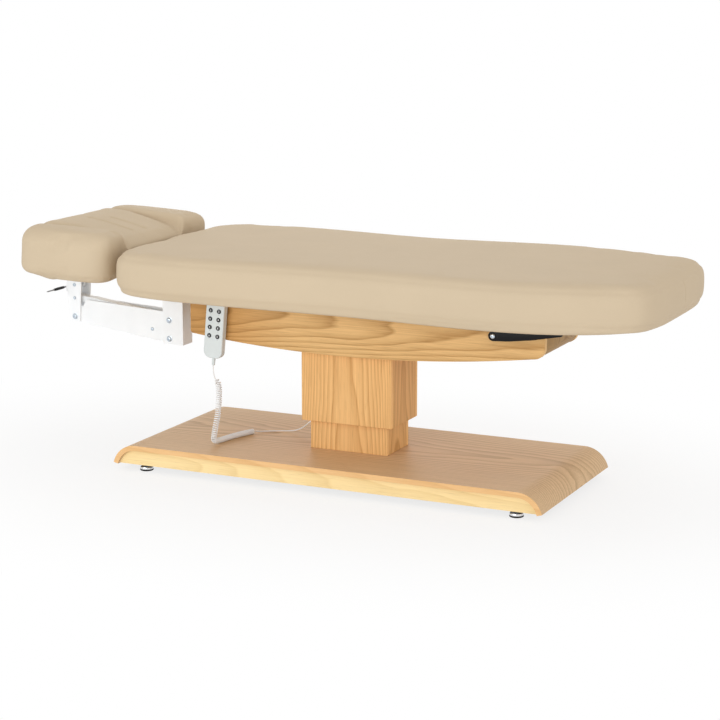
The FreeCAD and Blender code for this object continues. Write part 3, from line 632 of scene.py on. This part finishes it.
def square_up(cushion, node, power):
    """Spreads a cushion's round outline towards a squarer one in the room of its CAD solid."""
    low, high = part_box(node)
    half = [(high[axis] - low[axis]) / 2 for axis in (0, 1)]
    centre = [(high[axis] + low[axis]) / 2 for axis in (0, 1)]
    count = 120
    reach = [0.0] * count
    polar = []
    for vertex in cushion.data.vertices:
        u, w = ((vertex.co[axis] - centre[axis]) / half[axis] for axis in (0, 1))
        angle, radius = math.atan2(w, u), math.hypot(u, w)
        sector = int((angle / (2 * math.pi) + 0.5) * count) % count
        reach[sector] = max(reach[sector], radius)
        polar.append((angle, radius))
    for vertex, (angle, radius) in zip(cushion.data.vertices, polar):
        spot = (angle / (2 * math.pi) + 0.5) * count - 0.5
        first = math.floor(spot)
        share = spot - first
        edge = reach[first % count] * (1 - share) + reach[(first + 1) % count] * share
        aim = (abs(math.cos(angle)) ** power + abs(math.sin(angle)) ** power) ** (-1 / power)
        stretch = 1 + (aim / edge - 1) * easing(radius / edge, 0.3, 0.9)
        for axis in (0, 1):
            vertex.co[axis] = centre[axis] + (vertex.co[axis] - centre[axis]) * stretch
    cushion.data.update()


class BED_OT_wood(bpy.types.Operator):
    """Oak and plywood on the boards"""

    bl_idname = "bed.wood"
    bl_label = "Wood"

    def execute(self, context):
        dress("beam_end_oak", "beam_head_end")
        dress("box_oak", *BOX_SIDES)
        dress("box_end_oak", *BOX_ENDS)
        dress("base_oak", "base_top_sheet")
        dress("rail_oak", "base_near_rail", "base_far_rail")
        dress("birch_ply", "top_board", "rest_board")
        return {"FINISHED"}


class BED_OT_metal(bpy.types.Operator):
    """Painted, plated and drawn metal, and the moulded parts inside"""

    bl_idname = "bed.metal"
    bl_label = "Metal and mouldings"

    def execute(self, context):
        dress(
            "white_coat", "head_arm_hanger", "head_arm_channel", "head_arm_link", "head_carrier",
            "head_tilt_lug")
        dress("grey_coat", "base_plate", "lift_plate")
        dress("zinc_plate", "levelling_foot_studs")
        dress("column_steel", "column_guide_tube", "column_slide_tube", "lift_motor_tube", "lift_motor_ram")
        dress("black_plastic", "column_glide_liners", "control_box", "cord_gland")
        dress("hand_plastic", "hand_hook")
        dress("green_board", "hand_circuit_board")
        return {"FINISHED"}


# Route of the cord in metres, from the hand control to the gland on the column.
TOP_LEAD = ((-0.38250, -0.157, 0.3157), (-0.38400, -0.157, 0.291), (-0.37185, -0.157, 0.268))
CURL = (
    (-0.36685, -0.157, 0.268), (-0.36335, -0.1585, 0.244), (-0.36235, -0.162, 0.210),
    (-0.36385, -0.167, 0.170), (-0.36985, -0.172, 0.134), (-0.37335, -0.173, 0.1134),
    (-0.37685, -0.174, 0.0928), (-0.37085, -0.140, 0.0888), (-0.36085, -0.080, 0.0892),
    (-0.33585, -0.002, 0.0888))
FLOOR_LEAD = (
    (-0.32485, 0.020, 0.0843), (-0.30085, 0.045, 0.0828), (-0.26685, 0.062, 0.0828),
    (-0.23385, 0.064, 0.0858), (-0.20185, 0.054, 0.0978), (-0.17185, 0.036, 0.1198),
    (-0.14385, 0.014, 0.1398), (-0.11435, 0.008, 0.1500))
# Lengths over which the curl opens at its ends and changes as it lies down, and the step of the plain ends.
CURL_EASE = 0.007
LIE_EASE = 0.02
PLAIN_STEP = 0.004
# Where the curl starts before its first corner and ends after its last, and the share of it that hangs.
CURL_LEAD = 0.010
CURL_TAIL = 0.004
HANGING_SHARE = 0.46


def nurbs_curve(name, points, steps):
    """A curve of one NURBS spline with a route's corners as its control points."""
    curve = bpy.data.curves.new(name, "CURVE")
    curve.dimensions = "3D"
    curve.resolution_u = steps
    spline = curve.splines.new("NURBS")
    spline.points.add(len(points) - 1)
    for held, point in zip(spline.points, points):
        held.co = (*point, 1.0)
    spline.order_u = 3
    spline.use_endpoint_u = True
    return added(name, curve)


def drawn(curve):
    """The points that a curve draws."""
    bpy.context.view_layer.update()
    mesh = bpy.data.meshes.new_from_object(curve)
    path = [vertex.co.copy() for vertex in mesh.vertices]
    bpy.data.meshes.remove(mesh)
    return path


def nurbs_line(points):
    """Points along the NURBS line of a route."""
    carrier = nurbs_curve("line", points, 24)
    path = drawn(carrier)
    bpy.data.curves.remove(carrier.data)
    return path


def path_length(path):
    """Length of a line of points."""
    return sum((b - a).length for a, b in zip(path, path[1:]))


def point_at(path, marks, mark):
    """The point and the direction at a length along a line."""
    index = 1
    while index < len(marks) - 1 and marks[index] < mark:
        index += 1
    share = (mark - marks[index - 1]) / max(1e-9, marks[index] - marks[index - 1])
    return path[index - 1].lerp(path[index], share), (path[index] - path[index - 1]).normalized()


def curl_points(line, first, last):
    """Points of a curl round the stretch of a line between two lengths, drawn in at both ends."""
    marks = [0.0]
    for a, b in zip(line, line[1:]):
        marks.append(marks[-1] + (b - a).length)
    size = sizes()
    side = Vector((1, 0, 0))
    points, mark, turn = [], 0.0, 0.0
    hanging_end = first + HANGING_SHARE * (last - first)
    while mark < marks[-1]:
        point, way = point_at(line, marks, mark)
        side = (side - way * side.dot(way)).normalized()
        curled = easing(mark, first, first + CURL_EASE) * (1 - easing(mark, last - CURL_EASE, last))
        if curled > 0:
            lie = easing(mark, hanging_end - LIE_EASE, hanging_end + LIE_EASE)
            pitch = size.hanging_pitch + (size.lying_pitch - size.hanging_pitch) * lie
            radius = size.hanging_radius + (size.lying_radius - size.hanging_radius) * lie
            spoke = Matrix.Rotation(turn, 3, way) @ side
            points.append(point + spoke * radius * curled)
            mark += pitch / size.curl_steps
            turn += 2 * math.pi / size.curl_steps
        else:
            points.append(point)
            mark += PLAIN_STEP
    points.append(line[-1])
    return points


class BED_OT_cord(bpy.types.Operator):
    """The curly cord from the hand control to the column"""

    bl_idname = "bed.cord"
    bl_label = "Cord"

    def execute(self, context):
        size = sizes()
        line = nurbs_line(TOP_LEAD + CURL + FLOOR_LEAD)
        first = path_length(nurbs_line(TOP_LEAD + CURL[:1])) - CURL_LEAD
        last = path_length(line) - path_length(nurbs_line(CURL[-1:] + FLOOR_LEAD)) + CURL_TAIL
        cord = nurbs_curve("hand_cord", curl_points(line, first, last), 2)
        path = drawn(cord)
        cord.data.bevel_depth = size.cord_wire / 2
        cord.data.bevel_resolution = 2
        cord.data.use_fill_caps = True
        only(cord)
        bpy.ops.object.convert(target="MESH")
        cord = named("hand_cord")
        bpy.ops.object.shade_smooth()
        wear(cord, "cord_jacket")
        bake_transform(cord)
        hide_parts("cord_top_lead", "cord_hanging_curl", "cord_lying_curl", "cord_floor_lead")
        return {"FINISHED"}


class BED_OT_mattress(bpy.types.Operator):
    """The bed cushion with its rim seam"""

    bl_idname = "bed.mattress"
    bl_label = "Bed cushion"

    def execute(self, context):
        size = sizes()
        low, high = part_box("bed_cushion")
        cushion = soft_copy("bed_cushion", "mattress", size.mattress_net)
        room = 0.4 * size.mattress_swell
        press(cushion, lambda point, normal: room * easing(point.z, low[2], low[2] + 0.05))
        puff(cushion, size.mattress_swell, low[2])
        relax(cushion, 4)
        refit(cushion, "bed_cushion")
        finer(cushion)
        for vertex in cushion.data.vertices:
            rim = easing(abs(vertex.co.y), 0.26, 0.35) * (1 - easing(vertex.co.z, low[2], low[2] + 0.07))
            vertex.co.z -= size.rim_sag * rim * easing(vertex.co.x, -0.6, 0.2)
        seam_z = high[2] - size.seam_drop
        band_z = low[2] + 0.018

        def seams(point, normal):
            """Depth of the rim seams and of the seam that closes the side band."""
            upright = 1 - easing(abs(normal.z), 0.86, 0.97)
            rim = hill(point.z - seam_z, 0.0052) + 0.5 * hill(point.z - band_z, 0.005)
            closing = 0.8 * hill(point.y, 0.005) * easing(abs(normal.x), 0.6, 0.9)
            return size.seam_depth * upright * max(rim, closing)

        press(cushion, seams)
        settle(cushion, "cream_vinyl", "lift", ["bed_cushion"], 180)
        return {"FINISHED"}


# Sewn lines of the head cushion: place across, start, end and dimple along the bed, in metres.
SEWN_LINES = ((-0.034, -0.867, -0.720, -0.867), (0.031, -0.838, -0.720, -0.722))
LINE_END = 0.006


def crease_y(share):
    """How far from the middle the head cushion's crease runs, from the head end to the foot end."""
    return 0.195 - 0.035 * share


class BED_OT_head_cushion(bpy.types.Operator):
    """The head cushion with two raised sides and a sewn slot"""

    bl_idname = "bed.head_cushion"
    bl_label = "Head cushion"

    def execute(self, context):
        size = sizes()
        low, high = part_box("rest_cushion")
        cushion = soft_copy("rest_cushion", "head_cushion", size.rest_net)
        refit(cushion, "rest_cushion")
        square_up(cushion, "rest_cushion", 5.0)
        relax(cushion, 3)
        waist_z = low[2] + 0.35 * (high[2] - low[2])

        def along(point):
            """Share of the way from the head end to the foot end."""
            return (point.x - low[0]) / (high[0] - low[0])

        for vertex in cushion.data.vertices:
            share, off = along(vertex.co), abs(vertex.co.y)
            crease = crease_y(share)
            inner = 1 - easing(off, crease - 0.020, crease + 0.020)
            strip = 0.040 * max(0.0, (share - 0.30) / 0.70) ** 1.3 * inner
            groove = (0.008 + 0.014 * share) * hill(off - crease, 0.014)
            outer = 0.012 * easing(off, 0.24, 0.333) ** 1.6
            vertex.co.z -= easing(vertex.co.z, waist_z, high[2]) * (strip + groove + outer)
        relax(cushion, 2)
        puff(cushion, size.rest_swell, low[2])
        refit(cushion, "rest_cushion")
        for vertex in cushion.data.vertices:
            share, off = along(vertex.co), abs(vertex.co.y)
            lobe = size.lobe_reach * easing(off, 0.17, 0.33) - size.hollow * (1 - easing(off, 0.12, 0.30))
            vertex.co.x += lobe * easing(share, 0.5, 1.0)
        finer(cushion)

        def sewing(point, normal):
            """Depth of the slot's two sewn lines with their end dimples, and of the creases."""
            depth = 0.0060 * hill(abs(point.y) - crease_y(along(point)), 0.0065)
            for line_y, start, end, dimple in SEWN_LINES:
                begun = easing(point.x, start - LINE_END, start + LINE_END)
                ended = easing(point.x, end - LINE_END, end + LINE_END)
                line = 0.0046 * begun * (1 - ended) * hill(point.y - line_y, 0.0060)
                pit = 0.0085 * hill(math.hypot(point.x - dimple, point.y - line_y), 0.0080)
                depth = max(depth, line, pit)
            rim = hill(point.z - (low[2] + 0.016), 0.005) * (1 - easing(abs(normal.z), 0.6, 0.9))
            return easing(normal.z, 0.3, 0.7) * depth + 0.5 * size.seam_depth * rim

        press(cushion, sewing)
        settle(cushion, "cream_vinyl", "head_rest", ["rest_cushion"], 180)
        return {"FINISHED"}


def turned(name, profile, steps):
    """Turns a profile of radius and height round the upright axis through the origin."""
    mesh = bpy.data.meshes.new(name)
    mesh.from_pydata([(r, 0, z) for r, z in profile], [(i, i + 1) for i in range(len(profile) - 1)], [])
    piece = added(name, mesh)
    modify(piece, "SCREW", steps=steps, render_steps=steps, use_merge_vertices=True, merge_threshold=TINY)
    outwards(piece)
    return piece


def put(piece, place):
    """Moves a piece by a matrix and keeps its place in its mesh."""
    only(piece)
    piece.matrix_world = place
    bpy.ops.object.transform_apply()
    return piece


def shift(*way):
    """A matrix that moves a piece."""
    return Matrix.Translation(way)


HAND_WALL = 0.0018
HAND_FLOOR = 0.0022


def hand_frame():
    """Place and lean of the hand control, from the top of its front at the split."""
    size = sizes()
    low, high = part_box("hand_front_shell")
    lean = Matrix.Rotation(size.hand_lean, 4, "Y")
    hang = lean @ Vector((0, 0, -size.hand_height / 2))
    top = Vector(((low[0] + high[0]) / 2, high[1], (low[2] + high[2]) / 2)) - hang
    return Matrix.Translation(top) @ lean


def hand_half(name, outer):
    """One shell of the case, hollow, with round lower corners and a soft rim on its outer side."""
    size = sizes()
    wide, high, deep = size.hand_width / 2, size.hand_height, size.hand_shell
    shell = block(name, (-wide, min(0, outer * deep), -high), (wide, max(0, outer * deep), 0))

    def corners(lower):
        """A test for the edges that run through the shell at its lower or upper corners."""
        def test(edge):
            first, second = (vertex.co for vertex in edge.verts)
            return abs((first - second).normalized().y) > 0.99 and (first.z < -high / 2) == lower
        return test

    def at(depth):
        """A test for the edges or faces that lie at a depth."""
        return lambda part: all(abs(vertex.co.y - depth) < TINY for vertex in part.verts)

    bevel(shell, 0.020, 10, corners(lower=True))
    bevel(shell, 0.007, 5, corners(lower=False))
    bevel(shell, 0.0032, 4, at(outer * deep))
    bevel(shell, 0.0005, 2, at(0))
    pick(shell, "FACE", lambda face: at(0)(face) and face.calc_area() > 1e-3)
    bpy.ops.mesh.inset(thickness=HAND_WALL)
    bpy.ops.mesh.extrude_region_move(TRANSFORM_OT_translate={"value": (0, outer * (deep - HAND_FLOOR), 0)})
    leave()
    return put(shell, hand_frame())


def key_mark(name, centre, number):
    """An arrow and a bar on a key, as one thin raised print."""
    up = 1 if number % 2 else -1
    arrow = rod(name, (0, 0, 0), 0.0024, 0.0003, 3)
    put(arrow, shift(0, 0, 0.0006 * up) @ Matrix.Scale(up, 4, (0, 0, 1)))
    low = -0.0030 * up - 0.0004
    bars = [block("bar", (-0.0024, -0.00015, low), (0.0024, 0.00015, low + 0.0008))]
    if (number - 1) // 2 % 2:
        bars.append(block("bar", (-0.0004, -0.00015, min(low, 0)), (0.0004, 0.00015, max(low, 0))))
    mark = joined(name, [arrow, *bars])
    outwards(mark)
    return put(mark, shift(*centre) @ Matrix.Rotation(sizes().hand_lean, 4, "Y"))


KEY_HOLE = 0.0069
KEY_TALL = 0.0039
KEY_PROFILE = (
    (0, 0), (0.0065, 0), (0.0065, 0.0030), (0.0062, 0.0036), (0.0055, KEY_TALL), (0.0035, 0.0036),
    (0, 0.0034))
DASH = Vector((0.0016, 0.00012, 0))
RELIEF_PROFILE = (
    (0, 0), (0.0030, 0), (0.0036, 0.0008),
    *[(0.0040 + 0.00007 * z + (0.0005 if z % 4 in (1, 2) else -0.0002), z / 1000) for z in range(2, 20)],
    (0.0056, 0.021), (0.0056, 0.0232), (0, 0.0232))


class BED_OT_hand_control(bpy.types.Operator):
    """The hand control's case, keys, prints and strain relief"""

    bl_idname = "bed.hand_control"
    bl_label = "Hand control"

    def execute(self, context):
        front = hand_half("hand_front", -1)
        back = hand_half("hand_back", 1)
        cut(front, joined("holes", [rod("hole", middle(key), KEY_HOLE, 0.03, 40) for key in KEYS]))
        settle(front, "hand_plastic", "lift", ["hand_front_shell"])
        settle(back, "hand_plastic", "lift", ["hand_back_shell"])
        dashes = []
        front_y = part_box("hand_front_shell")[0][1]
        for number, key in enumerate(KEYS, start=1):
            body = f"key_{number}"
            x, _, z = middle(key)
            face_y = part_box(key)[0][1]
            cap = put(turned(f"key_cap_{number}", KEY_PROFILE, 36), shift(x, face_y + KEY_TALL, z) @ TO_NEAR)
            settle(cap, "key_rubber", body, [key])
            mark = key_mark(f"key_mark_{number}", (x, face_y + 0.00045, z), number)
            settle(mark, "key_print", body, angle=None)
            under = Vector((x - 0.0009, front_y, z - 0.0105))
            dashes.append(block("dash", under - DASH, under + DASH + Vector((0, 0, 0.0007))))
        prints = joined("case_prints", dashes)
        bevel(prints, 0.00005, 1)
        settle(prints, "grey_print", "lift", angle=None)
        relief = turned("strain_relief", RELIEF_PROFILE, 28)
        put(relief, hand_frame() @ shift(0, 0, -sizes().hand_height - 0.0230))
        settle(relief, "hand_plastic", "lift", ["cord_strain_relief"], 50)
        return {"FINISHED"}


def button_head(name, radius, tall):
    """A round bolt head with a hexagon socket, its seat at the origin and its face up."""
    head = turned(name, (
        (0, -0.002), (radius * 0.6, -0.002), (radius * 0.6, 0), (radius, 0), (radius, tall * 0.3),
        (radius * 0.92, tall * 0.62), (radius * 0.72, tall * 0.88), (radius * 0.5, tall), (0, tall)), 36)
    cut(head, rod("socket", (0, 0, tall), radius * 0.42, tall * 1.1, 6, (0, 0, 0.3)))
    return head


# Body, replaced node and bolts of each end of the head arm: place along, place up and size of the head.
PIVOTS = {
    "hanger": ("lift", "hanger_bolts", ((-0.60385, 0.353, 1.0), (-0.60385, 0.410, 1.0))),
    "carrier": ("head_carrier", "carrier_bolts", (
        (-0.93685, 0.396, 1.0), (-0.93685, 0.453, 0.55), (-0.93685, 0.494, 0.6))),
}
BOLT_TALL = 0.0042
WASHER_TALL = 0.0012


class BED_OT_bolts(bpy.types.Operator):
    """Pivot bolts of the head arm, with washers, and the arm's small stop screw"""

    bl_idname = "bed.bolts"
    bl_label = "Bolts"

    def execute(self, context):
        size = sizes()
        face = abs(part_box("head_carrier")[0][1])
        for end, (body, node, bolts) in PIVOTS.items():
            parts = []
            for x, z, share in bolts:
                radius = size.bolt_head * share
                for side in (-1, 1):
                    turn = Matrix.Rotation(-QUARTER * side, 4, "X")
                    head = button_head("head", radius, BOLT_TALL * share)
                    washer = turned("washer", (
                        (radius * 0.5, 0), (radius * 1.22, 0), (radius * 1.22, 0.0009),
                        (radius * 1.15, WASHER_TALL), (radius * 0.5, WASHER_TALL), (radius * 0.5, 0)), 36)
                    parts.append(put(head, shift(x, side * (face + WASHER_TALL), z) @ turn))
                    parts.append(put(washer, shift(x, side * face, z) @ turn))
                parts.append(rod("shank", (x, 0, z), 0.005, 2 * face))
            settle(joined(f"{end}_pivots", parts), "zinc_plate", body, [node])
        wall = abs(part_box("head_arm_channel")[0][1])
        screw = put(button_head("arm_screw", 0.0056, 0.0030), shift(-0.665, -wall, 0.3775) @ TO_NEAR)
        settle(screw, "zinc_plate", "head_arm")
        return {"FINISHED"}


def plate(name, outline, low_y, high_y, rim):
    """A flat part from an outline in the upright plane along the bed, with rounded rims."""
    mesh = bpy.data.meshes.new(name)
    mesh.from_pydata([(x, low_y, z) for x, z in outline], [], [range(len(outline))])
    piece = added(name, mesh)
    pick(piece, "FACE")
    bpy.ops.mesh.extrude_region_move(TRANSFORM_OT_translate={"value": (0, high_y - low_y, 0)})
    leave()
    outwards(piece)
    bevel(piece, rim, 3, lambda edge: abs(edge.verts[0].co.y - edge.verts[1].co.y) < TINY)
    return piece


def arc(centre, radius, start, end, steps):
    """Points of an arc in the upright plane along the bed, between two angles in degrees."""
    turns = [math.radians(start + (end - start) * step / steps) for step in range(steps + 1)]
    return [(centre[0] + radius * math.cos(turn), centre[1] + radius * math.sin(turn)) for turn in turns]


# The foot panel's outer and inner face from the beam's tip, and the angle where its bend ends.
PANEL_OUT = 0.0015
PANEL_IN = 0.013
BEND_END = -84
# How high the beam's lower edge rises along its belly, and the least step between its points.
BELLY_RISE = 0.055
BELLY_STEP = 0.004


class BED_OT_beam(bpy.types.Operator):
    """The beam's sides with a round lower corner at the foot end, its foot panel and its skin"""

    bl_idname = "bed.beam"
    bl_label = "Beam"

    def execute(self, context):
        size = sizes()
        reach, corner = size.beam_reach, size.beam_corner
        for side in ("near", "far"):
            node = f"beam_{side}_side"
            low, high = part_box(node)
            points = {(round(v.co.x, 4), round(v.co.z, 4)) for v in NODES[node].data.vertices}
            belly = sorted(p for p in points if p[1] < low[2] + BELLY_RISE and p[0] < high[0] - BELLY_STEP)
            chain = [belly[0]]
            for point in belly[1:]:
                if point[0] > chain[-1][0] + BELLY_STEP:
                    chain.append(point)
            (back_x, back_z), (last_x, last_z) = chain[-2:]
            slope = (last_z - back_z) / (last_x - back_x)
            tip_x = high[0] + reach
            bend = (tip_x - corner, last_z + slope * (tip_x - corner - last_x) + corner)
            outline = [(low[0], high[2]), *chain, *arc(bend, corner, BEND_END, 0, 8), (tip_x, high[2])]
            board = plate(f"beam_{side}", outline, low[1], high[1], 0.0012)
            settle(board, "beam_oak", "lift", [node], 25)
        low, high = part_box("beam_foot_end")
        outline = [
            (tip_x - PANEL_OUT, high[2]), *arc(bend, corner - PANEL_OUT, 0, BEND_END, 8),
            *arc(bend, corner - PANEL_IN, BEND_END, 0, 8), (tip_x - PANEL_IN, high[2])]
        panel = plate("beam_foot", outline, low[1], high[1], 0.0006)
        settle(panel, "beam_end_oak", "lift", ["beam_foot_end"], 25)
        skin = added("beam_skin", NODES["beam_bottom_skin"].data.copy())
        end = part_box("beam_bottom_skin")[1][0]
        for vertex in skin.data.vertices:
            if vertex.co.x > end - 0.002:
                vertex.co.x += bend[0] - end
                vertex.co.z += 0.003
        settle(skin, "beam_oak", "lift", ["beam_bottom_skin"], 25)
        return {"FINISHED"}


LEVER_EYE = 0.014
ROD_PROFILE = (
    (0, -0.007), (0.0052, -0.007), (0.0070, -0.0055), (0.0070, 0.0055), (0.0052, 0.007), (0.0026, 0.010),
    (0.0024, 0.080), (0.0019, 0.118), (0.0010, 0.1236), (0, 0.124))
SLEEVE_PROFILE = (
    (0, 0.030), (0.0030, 0.030), (0.0040, 0.0315), (0.0045, 0.045), (0.0045, 0.066), (0.0040, 0.080),
    (0.0030, 0.0845), (0, 0.0845))


class BED_OT_levers(bpy.types.Operator):
    """The foot lever with its bolt, and the release lever of the head rest"""

    bl_idname = "bed.levers"
    bl_label = "Levers"

    def execute(self, context):
        low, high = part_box("foot_lever")
        eye = (low[0] + LEVER_EYE, low[2] + LEVER_EYE)
        tail = (high[0] - 0.006, high[2] - 0.0075)

        def from_eye(*points):
            """Points of the outline, measured from the lever's eye."""
            return [(eye[0] + x, eye[1] + z) for x, z in points]

        outline = [
            *arc(eye, LEVER_EYE, 96, 276, 14), *from_eye((0.045, -0.0115), (0.110, -0.0030)),
            *arc(tail, 0.0055, -92, 88, 8), *from_eye((0.120, 0.0225), (0.060, 0.0205), (0.025, 0.0170))]
        lever = plate("lever", outline, low[1], high[1], 0.0020)
        settle(lever, "black_plastic", "foot_lever", ["foot_lever"], 40)
        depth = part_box("foot_lever_bolt")[1][1] - low[1]
        head = put(button_head("lever_bolt", 0.0072, BOLT_TALL), shift(eye[0], low[1], eye[1]) @ TO_NEAR)
        shank = rod("shank", (eye[0], low[1] + depth / 2, eye[1]), 0.004, depth)
        settle(joined("lever_bolt", [head, shank]), "zinc_plate", "lift", ["foot_lever_bolt"])
        x, _, z = middle("release_handle")
        for name, profile, finish, slot, node in (
                ("release_rod", ROD_PROFILE, "grey_coat", "grey_steel", "release_handle"),
                ("release_sleeve", SLEEVE_PROFILE, "black_plastic", "black_plastic", "release_handle_grip")):
            piece = put(turned(name, profile, 24), shift(x, 0, z) @ TO_NEAR)
            settle(piece, finish, "release_handle", [node])
        return {"FINISHED"}


class BED_OT_feet(bpy.types.Operator):
    """Levelling feet: steel cups on rubber rings"""

    bl_idname = "bed.feet"
    bl_label = "Feet"

    def execute(self, context):
        low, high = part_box("levelling_foot_pads")
        radius = 0.020
        top = high[2]
        spots = [
            (x, y) for x in (low[0] + radius, high[0] - radius) for y in (low[1] + radius, high[1] - radius)]
        cup = (
            (0, 0.0035), (0.0150, 0.0035), (0.0188, 0.0040), (0.0196, 0.0055), (0.0196, 0.0095),
            (0.0185, 0.0115), (0.0150, 0.0128), (0.0105, 0.0135), (0.0088, 0.0150), (0.0080, top), (0, top))
        ring = (
            (0, 0), (0.0185, 0), (radius, 0.0012), (radius, 0.0040), (0.0190, 0.0052), (0.0170, 0.0052),
            (0, 0.0046))
        for name, profile, finish, nodes in (
                ("foot_cups", cup, "bright_steel", ["levelling_foot_pads"]),
                ("foot_rings", ring, "black_plastic", [])):
            first = turned(name, profile, 40)
            feet = [first] + [added(name, first.data.copy()) for _ in spots[1:]]
            for foot, (x, y) in zip(feet, spots):
                put(foot, shift(x, y, 0))
            settle(joined(name, feet), finish, "base", nodes)
        return {"FINISHED"}


# Place, target, size, power in watts and tint of each light.
LIGHTS = {
    "front_light": ((-0.9, -5.2, 1.25), (0, 0, 0.35), (4.4, 2.0), 108, (0.94, 0.98, 1.0)),
    "foot_light": ((5.0, -1.2, 1.35), (0, 0, 0.35), (3.0, 2.0), 34, (1, 1, 1)),
    "top_light": ((0, 0.4, 4.2), (0, 0, 0), (4.0, 3.0), 20, (1.0, 0.93, 0.82)),
    "rear_light": ((-2.2, 4.4, 1.6), (0, 0, 0.5), (3.0, 2.0), 22, (1, 1, 1)),
}


class BED_OT_stage(bpy.types.Operator):
    """Pale floor, soft lights and the camera"""

    bl_idname = "bed.stage"
    bl_label = "Stage"

    def execute(self, context):
        scene = context.scene
        deselect()
        bpy.ops.mesh.primitive_plane_add(size=40)
        floor = named("floor")
        floor.data.materials.append(floor_paint("floor_paint"))
        for name, settings in LIGHTS.items():
            lamp(name, *settings)
        scene.world = studio_world(scene.world or bpy.data.worlds.new("studio"))
        lens = bpy.data.cameras.new("camera")
        lens.lens = 103.5
        lens.sensor_width = 36
        camera = added("camera", lens)
        camera.location = (2.5103, -5.3274, 1.5706)
        camera.rotation_euler = (math.radians(78.16), 0, math.radians(25.08))
        scene.camera = camera
        scene.view_settings.view_transform = "Standard"
        return {"FINISHED"}


def lamp(name, place, target, spread, power, tint):
    """Adds a soft rectangular light that faces a point."""
    light = bpy.data.lights.new(name, "AREA")
    light.color = tint
    light.shape = "RECTANGLE"
    light.size, light.size_y = spread
    light.energy = power
    holder = added(name, light)
    holder.location = place
    holder.rotation_euler = (Vector(target) - Vector(place)).to_track_quat("-Z", "Y").to_euler()


def seen_rays(tree):
    """A value of 1 for rays from the camera, from gloss and from glass."""
    rays = tree.nodes.new("ShaderNodeLightPath").outputs
    total = rays["Is Camera Ray"]
    for name in ("Is Glossy Ray", "Is Transmission Ray"):
        most = tree.nodes.new("ShaderNodeMath")
        most.operation = "MAXIMUM"
        tree.links.new(total, most.inputs[0])
        tree.links.new(rays[name], most.inputs[1])
        total = most.outputs[0]
    return total


def lead_out(tree, share, first, second, output):
    """Mixes two shaders by a share and leads them to the output."""
    merge = tree.nodes.new("ShaderNodeMixShader")
    for socket, value in zip(merge.inputs, (share, first.outputs[0], second.outputs[0])):
        tree.links.new(value, socket)
    tree.links.new(merge.outputs[0], output.inputs["Surface"])


def floor_paint(name):
    """White floor that keeps the shadow near the object and is pure white further out."""
    paint = Finish(name, {"Base Color": (0.90, 0.90, 0.90, 1.0), "Roughness": 0.9, "Specular IOR Level": 0.0})
    tree = paint.tree
    point = paint.place((1 / 1.25, 1 / 0.85, 1.0))
    reach = paint.node("ShaderNodeVectorMath", {"operation": "LENGTH"}, {0: point}, "Value")
    away = paint.node(
        "ShaderNodeMapRange", {"interpolation_type": "SMOOTHSTEP"},
        {"Value": reach, "From Min": 0.75, "From Max": 1.5})
    share = (0.78 + away * 0.22) * Wire(paint, seen_rays(tree))
    glow = tree.nodes.new("ShaderNodeEmission")
    lead_out(tree, share.socket, paint.shader, glow, tree.nodes["Material Output"])
    return paint.material


def studio_world(world):
    """White to the eye, with a soft grey fill on the object."""
    world.use_nodes = True
    tree = world.node_tree
    tree.nodes.clear()
    fill, white = (tree.nodes.new("ShaderNodeBackground") for _ in range(2))
    for light, strength in ((fill, 0.78), (white, 1.0)):
        light.inputs["Color"].default_value = (1, 1, 1, 1)
        light.inputs["Strength"].default_value = strength
    lead_out(tree, seen_rays(tree), fill, white, tree.nodes.new("ShaderNodeOutputWorld"))
    return world


class BED_PT_panel(bpy.types.Panel):
    """Sizes, colours and pieces of the massage bed"""

    bl_idname = "BED_PT_panel"
    bl_label = "Massage bed"
    bl_space_type = "VIEW_3D"
    bl_region_type = "UI"
    bl_category = "Massage bed"

    def draw(self, context):
        for operator in OPERATORS:
            self.layout.operator(operator.bl_idname)
        for group in (context.scene.bed_sizes, context.scene.bed_colours):
            for name in group.bl_rna.properties.keys():
                if name not in {"rna_type", "name"}:
                    self.layout.prop(group, name)


OPERATORS = (
    BED_OT_wood,
    BED_OT_metal,
    BED_OT_hand_control,
    BED_OT_cord,
    BED_OT_mattress,
    BED_OT_head_cushion,
    BED_OT_bolts,
    BED_OT_beam,
    BED_OT_levers,
    BED_OT_feet,
    BED_OT_stage,
)
CLASSES = (BedColours, BedSizes, *OPERATORS, BED_PT_panel)


def register():
    """Registers the classes and the scene's settings."""
    for cls in CLASSES:
        bpy.utils.register_class(cls)
    bpy.types.Scene.bed_colours = PointerProperty(type=BedColours)
    bpy.types.Scene.bed_sizes = PointerProperty(type=BedSizes)


def unregister():
    """Takes the scene's settings and the classes away."""
    del bpy.types.Scene.bed_sizes
    del bpy.types.Scene.bed_colours
    for cls in reversed(CLASSES):
        bpy.utils.unregister_class(cls)


def main():
    """Builds the dressed bed."""
    register()
    bpy.ops.bed.wood()
    bpy.ops.bed.metal()
    bpy.ops.bed.hand_control()
    bpy.ops.bed.cord()
    bpy.ops.bed.mattress()
    bpy.ops.bed.head_cushion()
    bpy.ops.bed.bolts()
    bpy.ops.bed.beam()
    bpy.ops.bed.levers()
    bpy.ops.bed.feet()
    bpy.ops.bed.stage()


if __name__ == "__main__":
    main()
